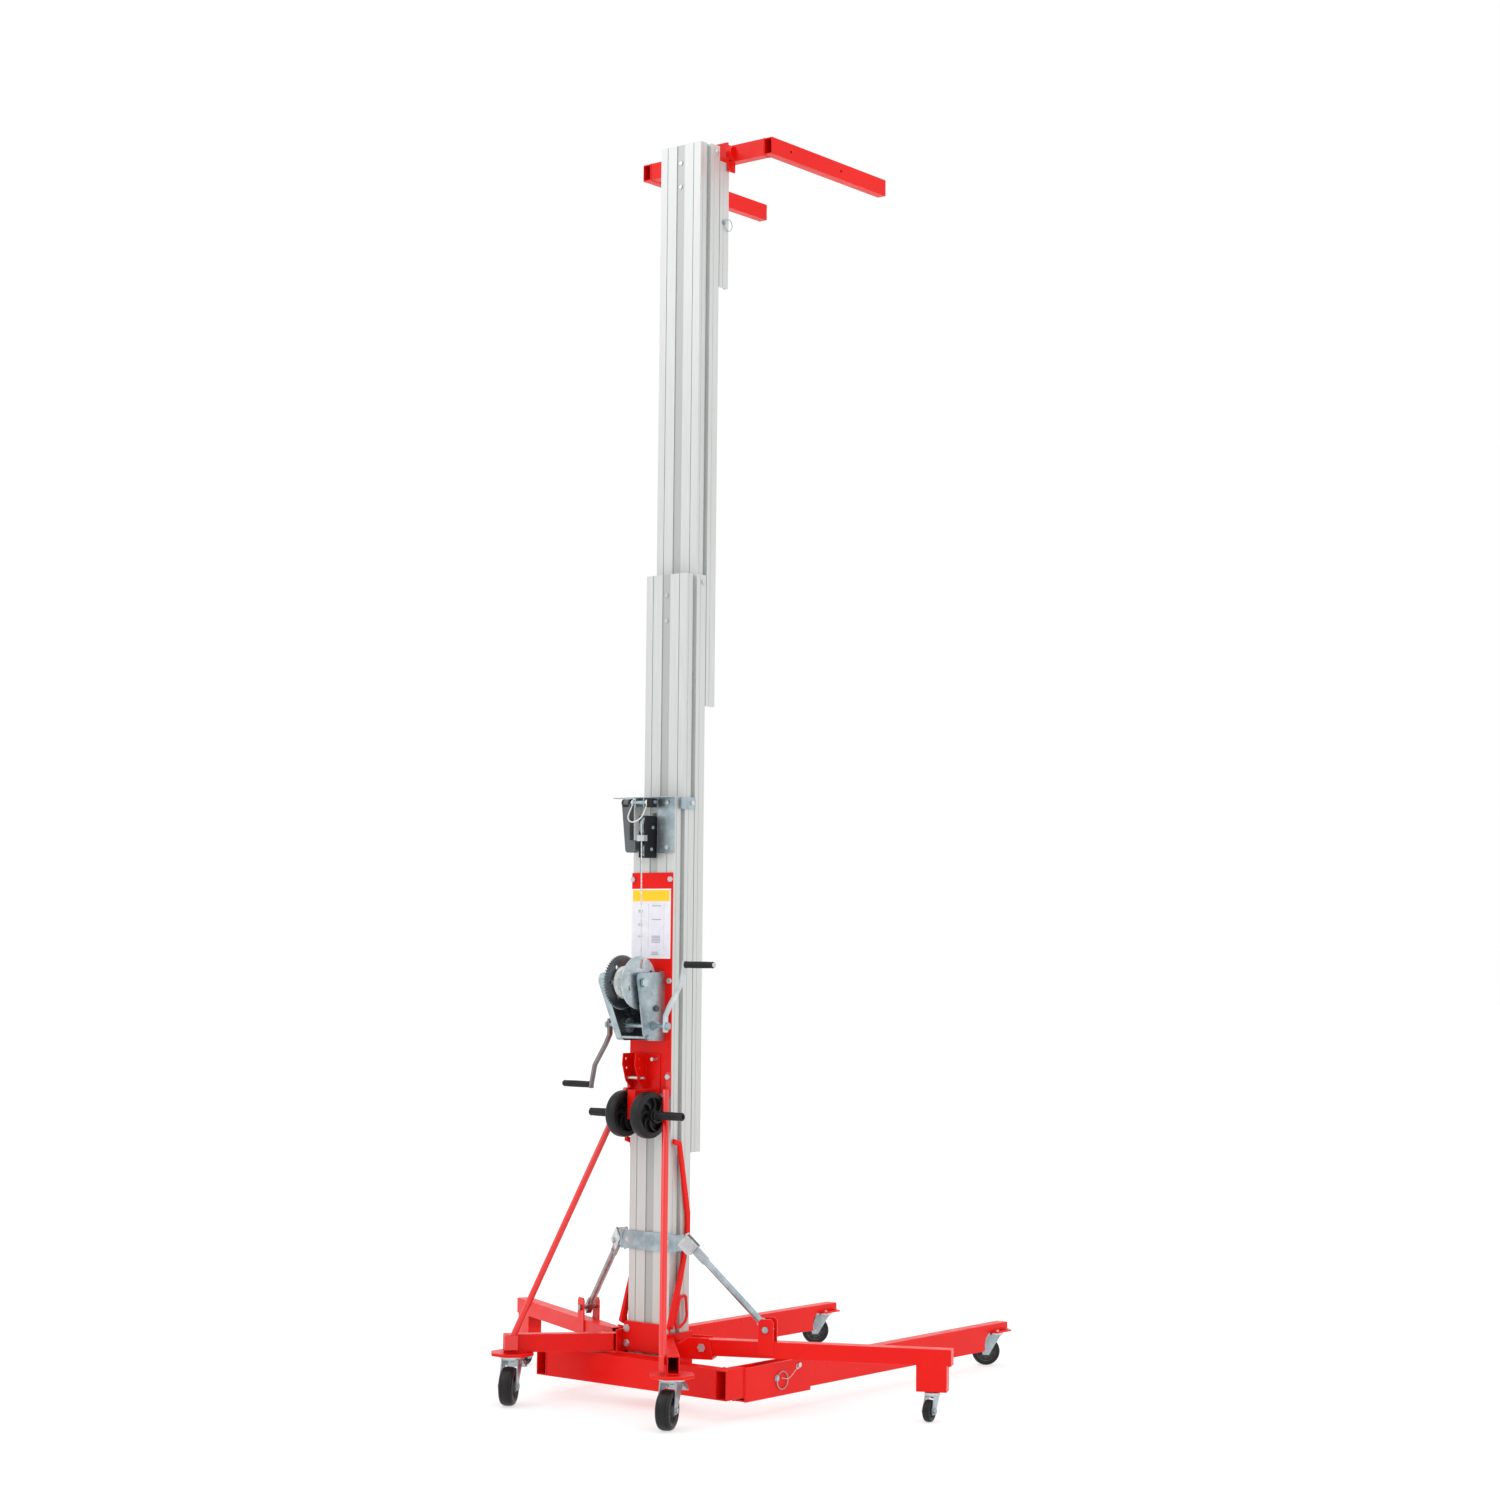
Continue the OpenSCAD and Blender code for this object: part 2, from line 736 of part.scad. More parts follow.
module crank_shaft() {
  place() color("lightsteelblue") {
    xcyl(8, -134, 117, crank_y, crank_z);
    hex_x(60.6, 68, crank_y, crank_z, 26);
    xcyl(12, 68, 80, crank_y, crank_z);
    xcyl(12, -110, -84, crank_y, crank_z);
    hex_x(117, 126, crank_y, crank_z, 22);
    hex_x(-142, -133, crank_y, crank_z, 22);
    translate([-48.5, crank_y, crank_z]) rotate([90, 0, 90]) linear_extrude(11) difference() {
      gear_outline(pinion_teeth, pinion_r, crank_mesh + 180 + 180 / pinion_teeth);
      circle(r = 7.9);
    }
  }
}

module crank_outline() {
  polygon([
    [107, -20], [117, -20], [117, 32], [134, 64], [180, 133], [194, 197], [194, 212], [186, 212],
    [186, 199], [172, 137], [125, 68], [107, 34]
  ]);
}

module crank_arm() {
  difference() {
    translate([0, crank_y + 9, crank_z]) rotate([90, 0, 0]) linear_extrude(18) crank_outline();
    xcyl(8.05, 90, 130, crank_y, crank_z);
  }
}

module grip_shape(x0, x1, z) {
  difference() {
    xcyl(11.5, x0, x1, crank_y, z);
    xcyl(5.08, x0 - 1, x1 + 1, crank_y, z);
  }
}

module crank_grip_right() {
  place() color("dimgray") grip_shape(194.6, 311.4, crank_z + 200);
}

module crank_grip_left() {
  place() color("dimgray") grip_shape(-327.4, -210.6, crank_z - 200);
}

// ---------------------------------------------------------------- plate below the winch

module lower_bracket() {
  place() color("red") {
    difference() {
      box(-71, 45, -10, -6, 1002, 1136);
      ycyl(6.05, 31, -20, 0, 1118);
    }
    for (x = [-71, -17]) difference() {
      across_x(x, x + 4) polygon([
        [-6, 1136], [-62, 1136], [-66, 1100], [-48, 1046], [-6, 1008]
      ]);
      xcyl(4, x - 5, x + 10, -48, 1118);
      xcyl(4, x - 5, x + 10, -44, 1088);
      xcyl(5.05, x - 5, x + 10, -38, 1056);
    }
    box(-16, 16, -98, -10, 1002, 1020);
    difference() {
      box(-16, 16, -98, -66, 925, 1010);
      xcyl(9.95, -20, 20, -82, 941);
    }
  }
}

module carry_axle() {
  place() color("dimgray") {
    xcyl(9.9, -80, 100, -82, 941);
    xcyl(14, 92, 206, -82, 941);
    xcyl(14, -189, -75, -82, 941);
  }
}

module carry_wheel(s) {
  translate([s > 0 ? 17 : 0, 0, 0]) side(s) translate([0, -82, 941]) rotate([0, 90, 0]) difference() {
    rotate_extrude() polygon([
      [9.95, 21], [18, 21], [18, 24], [56, 27], [60, 24], [69, 24], [74, 28], [76, 36], [76, 52],
      [74, 60], [69, 64], [60, 64], [56, 60], [18, 62], [18, 72], [9.95, 72]
    ]);
    for (a = [0 : 60 : 300]) rotate([0, 0, a]) translate([38, 0, 0]) cylinder(r = 10, h = 100);
  }
}

module carry_wheel_left() {
  place() color("dimgray") carry_wheel(-1);
}

module carry_wheel_right() {
  place() color("dimgray") carry_wheel(1);
}

module side_bar(s) {
  side(s) {
    across_x(97, 109) polygon([
      [-24, 262], [-2, 250], [44, 400], [80, 540], [80, 620], [32, 852], [-4, 862], [-6, 846], [20, 838],
      [62, 612], [62, 548], [26, 410]
    ]);
    across_x(103, 111) difference() {
      polygon([[4, 276], [10, 250], [34, 250], [64, 268], [72, 290], [66, 352], [56, 358], [24, 352]]);
      polygon([[16, 276], [18, 258], [32, 258], [57, 273], [64, 291], [58, 346], [50, 350], [34, 344]]);
    }
  }
}

module side_bars() {
  place() color("red") for (s = [-1, 1]) side_bar(s);
}

// ---------------------------------------------------------------- top of the fixed section

module top_bracket() {
  place() color("lightsteelblue") {
    box(-150, 94, -34, -2, 1974, 1977);
    box(22, 92, -5, -0.5, 1792, 1974);
    box(96, 101, 20, 92, 1938, 1977);
    xcyl(6, -108, 36, -34, 1959);
    box(-50, -46, -40, -1, 1944, 1974);
    box(-14, -10, -40, -1, 1944, 1974);
  }
}

module pulley_block() {
  place() color("dimgray") difference() {
    union() {
      box(-14, -10, -60, -0.5, 1776, 1914);
      box(10, 14, -60, -0.5, 1776, 1914);
      box(6.5, 29, -46, -20, 1942, 1971);
    }
    xcyl(5.05, -20, 20, -24, 1876);
    xcyl(5.05, -20, 20, -30, 1804);
    xcyl(6.05, 0, 40, -34, 1959);
  }
}

module sheave(r, y, z) {
  translate([-8, y, z]) rotate([0, 90, 0]) rotate_extrude() polygon([
    [5.08, 0], [r, 0], [r, 2], [r - 5.5, 6], [r - 5.5, 10], [r, 14], [r, 16], [5.08, 16]
  ]);
}

module upper_sheave() {
  place() color("silver") sheave(40, -24, 1876);
}

module lower_sheave() {
  place() color("silver") sheave(26, -30, 1804);
}

// Steel rope from the drum up to the upper sheave, over it and down inside the mast.
module lift_cable() {
  place() color("gray") {
    translate([2, drum_y + 57, drum_z]) multmatrix([
      [1, 0, -2 / 508, 0], [0, 1, (-61.9 - drum_y - 57) / 508, 0], [0, 0, 1, 0], [0, 0, 0, 1]
    ]) cylinder(r = 2.4, h = 508, $fn = 24);
    translate([0, -24, 1876]) rotate([0, 90, 0]) rotate_extrude(angle = 180) translate([-37.9, 0]) {
      circle(r = 2.4, $fn = 24);
    }
    zcyl(2.4, 0, 13.9, 1760, 1876);
  }
}

module latch_lever() {
  place() color("dimgray") difference() {
    union() {
      xcyl(12.5, -103, -68, -34, 1959);
      translate([0, -23, 0]) rotate([90, 0, 0]) linear_extrude(22) polygon([
        [-103, 1959], [-68, 1959], [-67, 1836], [-44, 1832], [-41, 1826], [-42, 1802], [-50, 1794],
        [-78, 1794], [-85, 1800]
      ]);
    }
    xcyl(6.06, -110, -60, -34, 1959);
  }
}

module wire_bail() {
  place() color("lightsteelblue") translate([0, -34, 1959]) rotate([-30, 0, 0]) difference() {
    union() {
      difference() {
        translate([-30, 0, -44]) rotate([90, 0, 0]) rotate_extrude() translate([32, 0]) circle(r = 2.2);
        box(-100, 100, -10, 10, -44, 20);
      }
      zcyl(2.35, -62, 0, -45, -4);
      zcyl(2.35, 2, 0, -45, -4);
      xcyl(9, -66, -58, 0, 0);
      xcyl(9, -3, 5, 0, 0);
    }
    xcyl(6.06, -90, 20, 0, 0);
  }
}

module root_fittings() {
  place() color("lightsteelblue") {
    for (s = [-1, 1]) stab_frame(s) {
      ycyl(8, 0, -32, 32, 0);
      hex_y(0, -38, -31, 0, 24);
      hex_y(0, 31, 38, 0, 24);
    }
    xcyl(5, -80, 4, -38, 1056);
    ycyl(6, 31, -34, -6, 1118);
    xcyl(5, -17, 17, -24, 1876);
    xcyl(5, -17, 17, -30, 1804);
    for (x = [-18, 14]) {
      hex_x(x, x + 4, -24, 1876, 11);
      hex_x(x, x + 4, -30, 1804, 11);
    }
    box(-15, 15, -68, -65.5, 1830, 1850);
    box(-15, -14, -68, -50, 1830, 1850);
    box(14, 15, -68, -50, 1830, 1850);
    for (z = [1694]) for (x = [-80, 80]) hex_y(x, -12, -6, z + 12, 17);
    hex_y(80, -12, -6, 1374, 17);
    for (x = [-83, 83]) hex_y(x, -18, -12, 1062, 17);
    for (z = [190, 238]) for (x = [-84, 84]) hex_y(x, -16, -10, z, 17);
    hex_y(63, -10, -5, 1958, 15);
    hex_y(63, -10, -5, 1811, 15);
    hex_x(101, 106, 74, 1959, 15);
    for (s = [-1, 1]) side(s) {
      hex_x(base_half + 5, base_half + 12, 272, 138, 15);
      for (y = [-34, 34]) for (x = [-36, 36]) {
        zcyl(5, base_half - leg_w / 2 + x, front_y + y, 125, 130);
      }
    }
  }
}

/* [Output] */
// Sub-part to draw, or all of them

/* [Hidden] */

base_frame();
leg_left();
leg_right();
caster_plates();
rear_beams();
rear_braces();
mast_foot();
mast_outer();
stab_mounts();
brace_bracket();
winch_plate();
label_plate();
winch_frame();
lower_bracket();
carry_axle();
side_bars();
top_bracket();
pulley_block();
lift_cable();
root_fittings();
mast_middle();
mast_inner();
carriage_column();
fork_crossbar();
fork_left();
fork_right();
carriage_pin();
leg_pin_left();
leg_pin_right();
stab_arm_left();
stab_arm_right();
stab_rod_left();
stab_rod_right();
rear_fork_left();
rear_fork_right();
rear_wheel_left();
rear_wheel_right();
brake_left();
brake_right();
front_fork_left();
front_fork_right();
front_wheel_left();
front_wheel_right();
stab_fork_left();
stab_fork_right();
stab_wheel_left();
stab_wheel_right();
drum();
rope_coil();
idler_gear();
crank_shaft();
crank_arms();
crank_grip_right();
crank_grip_left();
carry_wheel_left();
carry_wheel_right();
upper_sheave();
lower_sheave();
latch_lever();
wire_bail();
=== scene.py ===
import json
import math

import bmesh
import bpy
from mathutils import Matrix, Vector

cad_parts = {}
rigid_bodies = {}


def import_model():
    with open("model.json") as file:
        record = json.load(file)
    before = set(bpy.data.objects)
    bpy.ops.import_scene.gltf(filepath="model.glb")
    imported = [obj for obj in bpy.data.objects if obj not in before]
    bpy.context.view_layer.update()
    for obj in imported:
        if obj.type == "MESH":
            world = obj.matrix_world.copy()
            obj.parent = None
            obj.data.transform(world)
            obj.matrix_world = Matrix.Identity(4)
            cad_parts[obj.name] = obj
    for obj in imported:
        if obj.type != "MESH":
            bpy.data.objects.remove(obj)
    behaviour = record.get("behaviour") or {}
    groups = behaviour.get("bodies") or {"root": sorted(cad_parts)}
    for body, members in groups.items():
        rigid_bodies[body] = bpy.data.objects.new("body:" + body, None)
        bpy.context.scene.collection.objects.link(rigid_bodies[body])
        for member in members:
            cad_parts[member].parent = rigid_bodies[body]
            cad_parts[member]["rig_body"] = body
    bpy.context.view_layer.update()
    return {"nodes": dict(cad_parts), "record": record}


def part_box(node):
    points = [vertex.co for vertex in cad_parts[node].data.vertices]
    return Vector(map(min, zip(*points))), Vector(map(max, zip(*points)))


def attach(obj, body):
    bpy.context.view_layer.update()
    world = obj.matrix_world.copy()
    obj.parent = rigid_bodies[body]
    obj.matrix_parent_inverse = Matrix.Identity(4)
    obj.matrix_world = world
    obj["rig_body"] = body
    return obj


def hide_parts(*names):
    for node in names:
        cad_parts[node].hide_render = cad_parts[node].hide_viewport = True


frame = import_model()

NODES = frame["nodes"]
REAR_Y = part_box("mast_outer")[0].y
SLOT_OF = {s["node"]: s["material_slot"] for s in frame["record"]["subparts"]}
BODY_OF = {n: o["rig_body"] for n, o in NODES.items()}
scene = bpy.context.scene


def P(x, y, z):
    """A point in millimetres, measured from the fixed mast's rear face and the floor."""
    return Vector((x / 1000, REAR_Y + y / 1000, z / 1000))


# ------------------------------------------------------------------ camera, floor and lights

CAM_AT = P(5825, -6786, 1498)
CAM_YAW, CAM_PITCH, CAM_ROLL = 0.67413, 0.07134, 0.009148
CAM_LENS = 64.99


def make_camera():
    cam = bpy.data.objects.new("camera", bpy.data.cameras.new("camera"))
    scene.collection.objects.link(cam)
    flat = math.cos(CAM_PITCH)
    look = Vector((-math.sin(CAM_YAW) * flat, math.cos(CAM_YAW) * flat, math.sin(CAM_PITCH)))
    level = Vector((math.cos(CAM_YAW), math.sin(CAM_YAW), 0))
    up = level.cross(look)
    right = level * math.cos(CAM_ROLL) + up * math.sin(CAM_ROLL)
    up = right.cross(look)
    cam.matrix_world = Matrix((
        (right.x, up.x, -look.x, CAM_AT.x),
        (right.y, up.y, -look.y, CAM_AT.y),
        (right.z, up.z, -look.z, CAM_AT.z),
        (0, 0, 0, 1),
    ))
    cam.data.sensor_width = 36
    cam.data.lens = CAM_LENS
    cam.data.clip_start, cam.data.clip_end = 0.1, 200
    scene.camera = cam


def area_light(name, at, aim, size, power, tint=(1, 1, 1)):
    data = bpy.data.lights.new(name, "AREA")
    data.shape = "RECTANGLE"
    data.size, data.size_y = size
    data.energy = power
    data.color = tint
    lamp = bpy.data.objects.new(name, data)
    scene.collection.objects.link(lamp)
    lamp.location = at
    lamp.rotation_euler = (Vector(aim) - Vector(at)).to_track_quat("-Z", "Y").to_euler()


# ------------------------------------------------------------------ materials


class Mat:
    """A Principled material with short helpers for its node tree."""

    def __init__(self, name, **sockets):
        self.mat = bpy.data.materials.new(name)
        self.mat.use_nodes = True
        self.tree = self.mat.node_tree
        self.tree.nodes.clear()
        self.bsdf = self.node("ShaderNodeBsdfPrincipled")
        out = self.node("ShaderNodeOutputMaterial")
        self.link(self.bsdf.outputs[0], out.inputs[0])
        self.place = self.node("ShaderNodeTexCoord").outputs["Object"]
        for key, value in sockets.items():
            self.bsdf.inputs[key.replace("_", " ")].default_value = value

    def node(self, kind, **values):
        made = self.tree.nodes.new(kind)
        for key, value in values.items():
            setattr(made, key, value)
        return made

    def link(self, a, b):
        self.tree.links.new(a, b)

    def put(self, socket, value):
        if hasattr(value, "is_output"):
            self.link(value, socket)
        else:
            socket.default_value = value

    def scaled(self, stretch, turn=(0, 0, 0)):
        m = self.node("ShaderNodeMapping")
        m.inputs["Scale"].default_value = stretch
        m.inputs["Rotation"].default_value = turn
        self.link(self.place, m.inputs["Vector"])
        return m.outputs[0]

    def noise(self, scale, detail=3, rough=0.55, where=None):
        n = self.node("ShaderNodeTexNoise")
        n.inputs["Scale"].default_value = scale
        n.inputs["Detail"].default_value = detail
        n.inputs["Roughness"].default_value = rough
        self.link(where or self.place, n.inputs["Vector"])
        return n.outputs["Fac"]

    def ramp(self, fac, *stops):
        r = self.node("ShaderNodeValToRGB")
        el = r.color_ramp.elements
        while len(el) < len(stops):
            el.new(0.5)
        for e, (at, c) in zip(el, stops):
            e.position = at
            e.color = (c, c, c, 1) if isinstance(c, (int, float)) else (*c, 1)
        self.link(fac, r.inputs[0])
        return r.outputs[0]

    def math(self, op, a, b=0.0, c=0.0):
        m = self.node("ShaderNodeMath", operation=op)
        for socket, value in zip(m.inputs, (a, b, c)):
            self.put(socket, value)
        return m.outputs[0]

    def mix(self, fac, a, b):
        m = self.node("ShaderNodeMix", data_type="RGBA")
        self.put(m.inputs["Factor"], fac)
        for socket, value in ((m.inputs[6], a), (m.inputs[7], b)):
            self.put(socket, (*value, 1) if isinstance(value, tuple) and len(value) == 3 else value)
        return m.outputs[2]

    def edges(self, radius, gain=5.0):
        """A mask that is 1 along sharp edges and 0 on open faces."""
        bevel = self.node("ShaderNodeBevel", samples=4)
        bevel.inputs["Radius"].default_value = radius
        geo = self.node("ShaderNodeNewGeometry")
        dot = self.node("ShaderNodeVectorMath", operation="DOT_PRODUCT")
        self.link(bevel.outputs[0], dot.inputs[0])
        self.link(geo.outputs["Normal"], dot.inputs[1])
        bent = self.math("SUBTRACT", 1.0, dot.outputs["Value"])
        m = self.node("ShaderNodeMath", operation="MULTIPLY", use_clamp=True)
        self.link(bent, m.inputs[0])
        m.inputs[1].default_value = gain
        return m.outputs[0]

    def axis(self, i):
        sep = self.node("ShaderNodeSeparateXYZ")
        self.link(self.place, sep.inputs[0])
        return sep.outputs[i]

    def bump(self, height, distance, strength=1.0, under=None):
        b = self.node("ShaderNodeBump")
        b.inputs["Strength"].default_value = strength
        b.inputs["Distance"].default_value = distance
        self.link(height, b.inputs["Height"])
        if under:
            self.link(under, b.inputs["Normal"])
        return b.outputs[0]

    def set(self, **values):
        for key, value in values.items():
            socket = self.bsdf.inputs[key.replace("_", " ")]
            self.put(socket, (*value, 1) if isinstance(value, tuple) and len(value) == 3 else value)
        return self.mat


def red_paint(name="red_paint", coat=0.05, spec=0.16):
    m = Mat(name, Coat_Weight=coat, Coat_Roughness=0.2, Specular_IOR_Level=spec)
    cloud = m.noise(2.6, 4)
    base = m.mix(m.ramp(cloud, (0.35, 0.0), (0.7, 1.0)), (0.70, 0.0035, 0.0015), (0.79, 0.006, 0.0025))
    chip = m.math("MULTIPLY", m.edges(0.0014, 6.0), m.ramp(m.noise(160, 4, 0.7), (0.56, 0.0), (0.64, 1.0)))
    # Painted highlight: a pale pink band along the edges stands in for the light they catch; the darker chips
    # mixed in next are wear.
    edge_sheen_and_wear = m.mix(m.math("MULTIPLY", m.edges(0.003, 2.0), 0.30), base, (0.95, 0.20, 0.16))
    edge_sheen_and_wear = m.mix(m.math("MULTIPLY", chip, 0.6), edge_sheen_and_wear, (0.42, 0.05, 0.035))
    dust = m.ramp(m.noise(38, 5, 0.7), (0.52, 0.0), (0.82, 1.0))
    color = m.mix(m.math("MULTIPLY", dust, 0.10), edge_sheen_and_wear, (0.70, 0.07, 0.05))
    rough = m.ramp(m.noise(21, 4), (0.3, 0.27), (0.75, 0.42))
    peel = m.bump(m.noise(620, 2), 0.00012, 0.35)
    flow = m.bump(m.noise(70, 2), 0.0004, 0.12, peel)
    return m.set(Base_Color=color, Roughness=rough, Normal=flow)


def aluminium():
    m = Mat("aluminium", Metallic=0.35, Specular_IOR_Level=0.5)
    drawn = m.noise(60, 5, 0.6, m.scaled((9, 9, 0.12)))
    cloud = m.noise(3.1, 4, 0.6, m.scaled((1, 1, 0.35)))
    tone = m.mix(m.ramp(drawn, (0.3, 0.0), (0.7, 1.0)), (0.545, 0.562, 0.552), (0.640, 0.662, 0.650))
    tone = m.mix(m.math("MULTIPLY", m.ramp(cloud, (0.45, 0.0), (0.8, 1.0)), 0.35), tone, (0.50, 0.51, 0.49))
    # Painted shade: the colour turns darker and warmer towards the bottom.
    low = m.node("ShaderNodeMapRange")
    m.link(m.axis(2), low.inputs["Value"])
    low.inputs["From Min"].default_value, low.inputs["From Max"].default_value = 0.2, 1.1
    low.inputs["To Min"].default_value, low.inputs["To Max"].default_value = 0.55, 0.0
    tone = m.mix(low.outputs[0], tone, (0.55, 0.51, 0.475))
    scuff = m.ramp(m.noise(34, 6, 0.75, m.scaled((3, 3, 0.5))), (0.62, 0.0), (0.70, 1.0))
    tone = m.mix(m.math("MULTIPLY", scuff, 0.16), tone, (0.38, 0.39, 0.38))
    tone = m.mix(m.math("MULTIPLY", m.edges(0.0012, 4.0), 0.35), tone, (0.76, 0.77, 0.76))
    # Painted shade: the floors of the mast's middle grooves are darkened as if in shadow.
    step = m.math("FRACT", m.math("DIVIDE", m.math("SUBTRACT", m.axis(1), REAR_Y), 0.05))
    middle = m.math("LESS_THAN", m.math("ABSOLUTE", m.axis(0)), 0.0605)
    groove_shade = m.math("MULTIPLY", band(m, step, 0.006, 0.085), middle)
    tone = m.mix(m.math("MULTIPLY", groove_shade, 0.62), tone, (0.33, 0.345, 0.34))
    rough = m.ramp(drawn, (0.25, 0.34), (0.8, 0.50))
    line = m.bump(drawn, 0.00012, 0.5)
    return m.set(Base_Color=tone, Roughness=rough, Normal=line)


def zinc(name="zinc", a=(0.27, 0.345, 0.38), b=(0.47, 0.56, 0.60), metal=0.85, dark=None, part=None):
    m = Mat(name, Metallic=metal)
    spangle = m.noise(24, 5, 0.65)
    tone = m.mix(m.ramp(spangle, (0.35, 0.0), (0.68, 1.0)), a, b)
    # Faces marked by part are mixed towards the dark colour; the winch, drum and crank use this for painted
    # shade.
    if part:
        tone = m.mix(part(m), tone, dark)
    cloud = m.ramp(m.noise(9, 3), (0.5, 0.0), (0.75, 1.0))
    tone = m.mix(m.math("MULTIPLY", cloud, 0.30), tone, (0.43, 0.42, 0.39))
    tone = m.mix(m.math("MULTIPLY", m.edges(0.001, 5.0), 0.5), tone, (0.74, 0.77, 0.78))
    rough = m.ramp(m.noise(75, 4), (0.3, 0.26), (0.75, 0.44))
    fine = m.bump(m.noise(420, 3), 0.0001, 0.3)
    return m.set(Base_Color=tone, Roughness=rough, Normal=fine)


def moulded(name, low, high, rough_lo, rough_hi, grain=900, edge_sheen_and_wear=(0.2, 0.2, 0.2), spec=0.5):
    m = Mat(name, Specular_IOR_Level=spec)
    tone = m.mix(m.ramp(m.noise(17, 4), (0.35, 0.0), (0.7, 1.0)), low, high)
    tone = m.mix(m.math("MULTIPLY", m.edges(0.0012, 4.0), 0.4), tone, edge_sheen_and_wear)
    rough = m.ramp(m.noise(55, 4), (0.3, rough_lo), (0.75, rough_hi))
    fine = m.bump(m.noise(grain, 2), 0.00018, 0.4)
    return m.set(Base_Color=tone, Roughness=rough, Normal=fine)


def wire_steel():
    m = Mat("wire", Metallic=0.45)
    tone = m.mix(m.ramp(m.noise(140, 4), (0.35, 0.0), (0.7, 1.0)), (0.56, 0.58, 0.58), (0.80, 0.82, 0.81))
    rough = m.ramp(m.noise(230, 3), (0.3, 0.28), (0.7, 0.46))
    fine = m.bump(m.noise(1500, 2), 0.0001, 0.4)
    return m.set(Base_Color=tone, Roughness=rough, Normal=fine)


def band(m, value, low, high):
    """1 where value lies between low and high."""
    return m.math("MULTIPLY", m.math("GREATER_THAN", value, low), m.math("LESS_THAN", value, high))


def winch_inside_shade(m):
    """1 on the faces between the winch's two side plates, where painted shade darkens them."""
    x, y = m.axis(0), m.axis(1)
    rod = m.math("MULTIPLY", m.math("GREATER_THAN", x, -0.049), m.math("LESS_THAN", y, REAR_Y - 0.08))
    return m.math("MULTIPLY", band(m, x, -0.0515, 0.0555), m.math("SUBTRACT", 0.92, rod))


def label_film():
    m = Mat("label", Coat_Weight=0.1, Coat_Roughness=0.15, Specular_IOR_Level=0.3)
    lo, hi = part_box("label_plate")
    w, h = hi.x - lo.x, hi.z - lo.z
    u = m.math("DIVIDE", m.math("SUBTRACT", m.axis(0), lo.x), w)
    v = m.math("DIVIDE", m.math("SUBTRACT", m.axis(2), lo.z), h)
    paper = m.mix(m.ramp(m.noise(40, 3), (0.4, 0.0), (0.7, 1.0)), (0.74, 0.73, 0.80), (0.80, 0.79, 0.85))
    inside = m.math("MULTIPLY", band(m, u, 0.03, 0.97), band(m, v, 0.03, 0.985))
    head = m.math("MULTIPLY", band(m, v, 0.82, 0.98), band(m, u, 0.015, 0.985))
    color = m.mix(head, paper, (1.0, 0.58, 0.012))
    ink = None
    for u0, u1, v0, v1 in ((0.43, 0.44, 0.14, 0.79), (0.83, 0.84, 0.14, 0.79), (0.17, 0.29, 0.66, 0.70),
                           (0.17, 0.29, 0.47, 0.51), (0.17, 0.29, 0.30, 0.33), (0.52, 0.76, 0.745, 0.77),
                           (0.52, 0.76, 0.55, 0.57), (0.52, 0.74, 0.22, 0.33), (0.52, 0.70, 0.05, 0.10)):
        one = m.math("MULTIPLY", band(m, u, u0, u1), band(m, v, v0, v1))
        ink = one if ink is None else m.math("MAXIMUM", ink, one)
    rule = m.math("GREATER_THAN", m.math("FRACT", m.math("MULTIPLY", v, 46.0)), 0.42)
    soft = m.ramp(m.noise(700, 2), (0.35, 0.55), (0.7, 0.95))
    color = m.mix(m.math("MULTIPLY", m.math("MULTIPLY", ink, rule), soft), color, (0.20, 0.20, 0.24))
    color = m.mix(m.math("SUBTRACT", 1.0, inside), color, (0.86, 0.80, 0.80))
    rough = m.ramp(m.noise(30, 3), (0.3, 0.22), (0.7, 0.34))
    return m.set(Base_Color=color, Roughness=rough, Normal=m.bump(m.noise(200, 2), 0.0001, 0.2))


FLOOR_REACH = 60
FLOOR_GLOW = 0.58


def make_floor():
    m = Mat("studio_floor")
    tone = m.mix(m.noise(0.8, 3), (0.42, 0.42, 0.42), (0.45, 0.45, 0.45))
    mat = m.set(Base_Color=tone, Roughness=m.ramp(m.noise(3, 3), (0.3, 0.75), (0.7, 0.9)))
    m.bsdf.inputs["Emission Color"].default_value = (1, 1, 1, 1)
    m.bsdf.inputs["Emission Strength"].default_value = FLOOR_GLOW
    size = FLOOR_REACH
    mesh = bpy.data.meshes.new("floor")
    corners = [(-size, -size, 0), (size, -size, 0), (size, size, 0), (-size, size, 0)]
    mesh.from_pydata(corners, [], [(0, 1, 2, 3)])
    mesh.materials.append(mat)
    floor = bpy.data.objects.new("floor", mesh)
    scene.collection.objects.link(floor)


def make_world():
    world = bpy.data.worlds.new("studio")
    scene.world = world
    world.use_nodes = True
    back = world.node_tree.nodes["Background"]
    back.inputs["Color"].default_value = (1, 1, 1, 1)
    back.inputs["Strength"].default_value = 1.0
    scene.view_settings.view_transform = "Standard"
    area_light("key", (-3.5, -6.5, 7.5), (0, 0, 1.4), (4, 4), 150)
    area_light("fill", (7.5, -1.0, 4.5), (0, 0, 1.6), (4, 5), 60, (1.0, 0.985, 0.96))
    area_light("top", (0.5, 0.5, 9.0), (0, 0, 0), (5, 5), 110)


make_camera()
make_world()
make_floor()

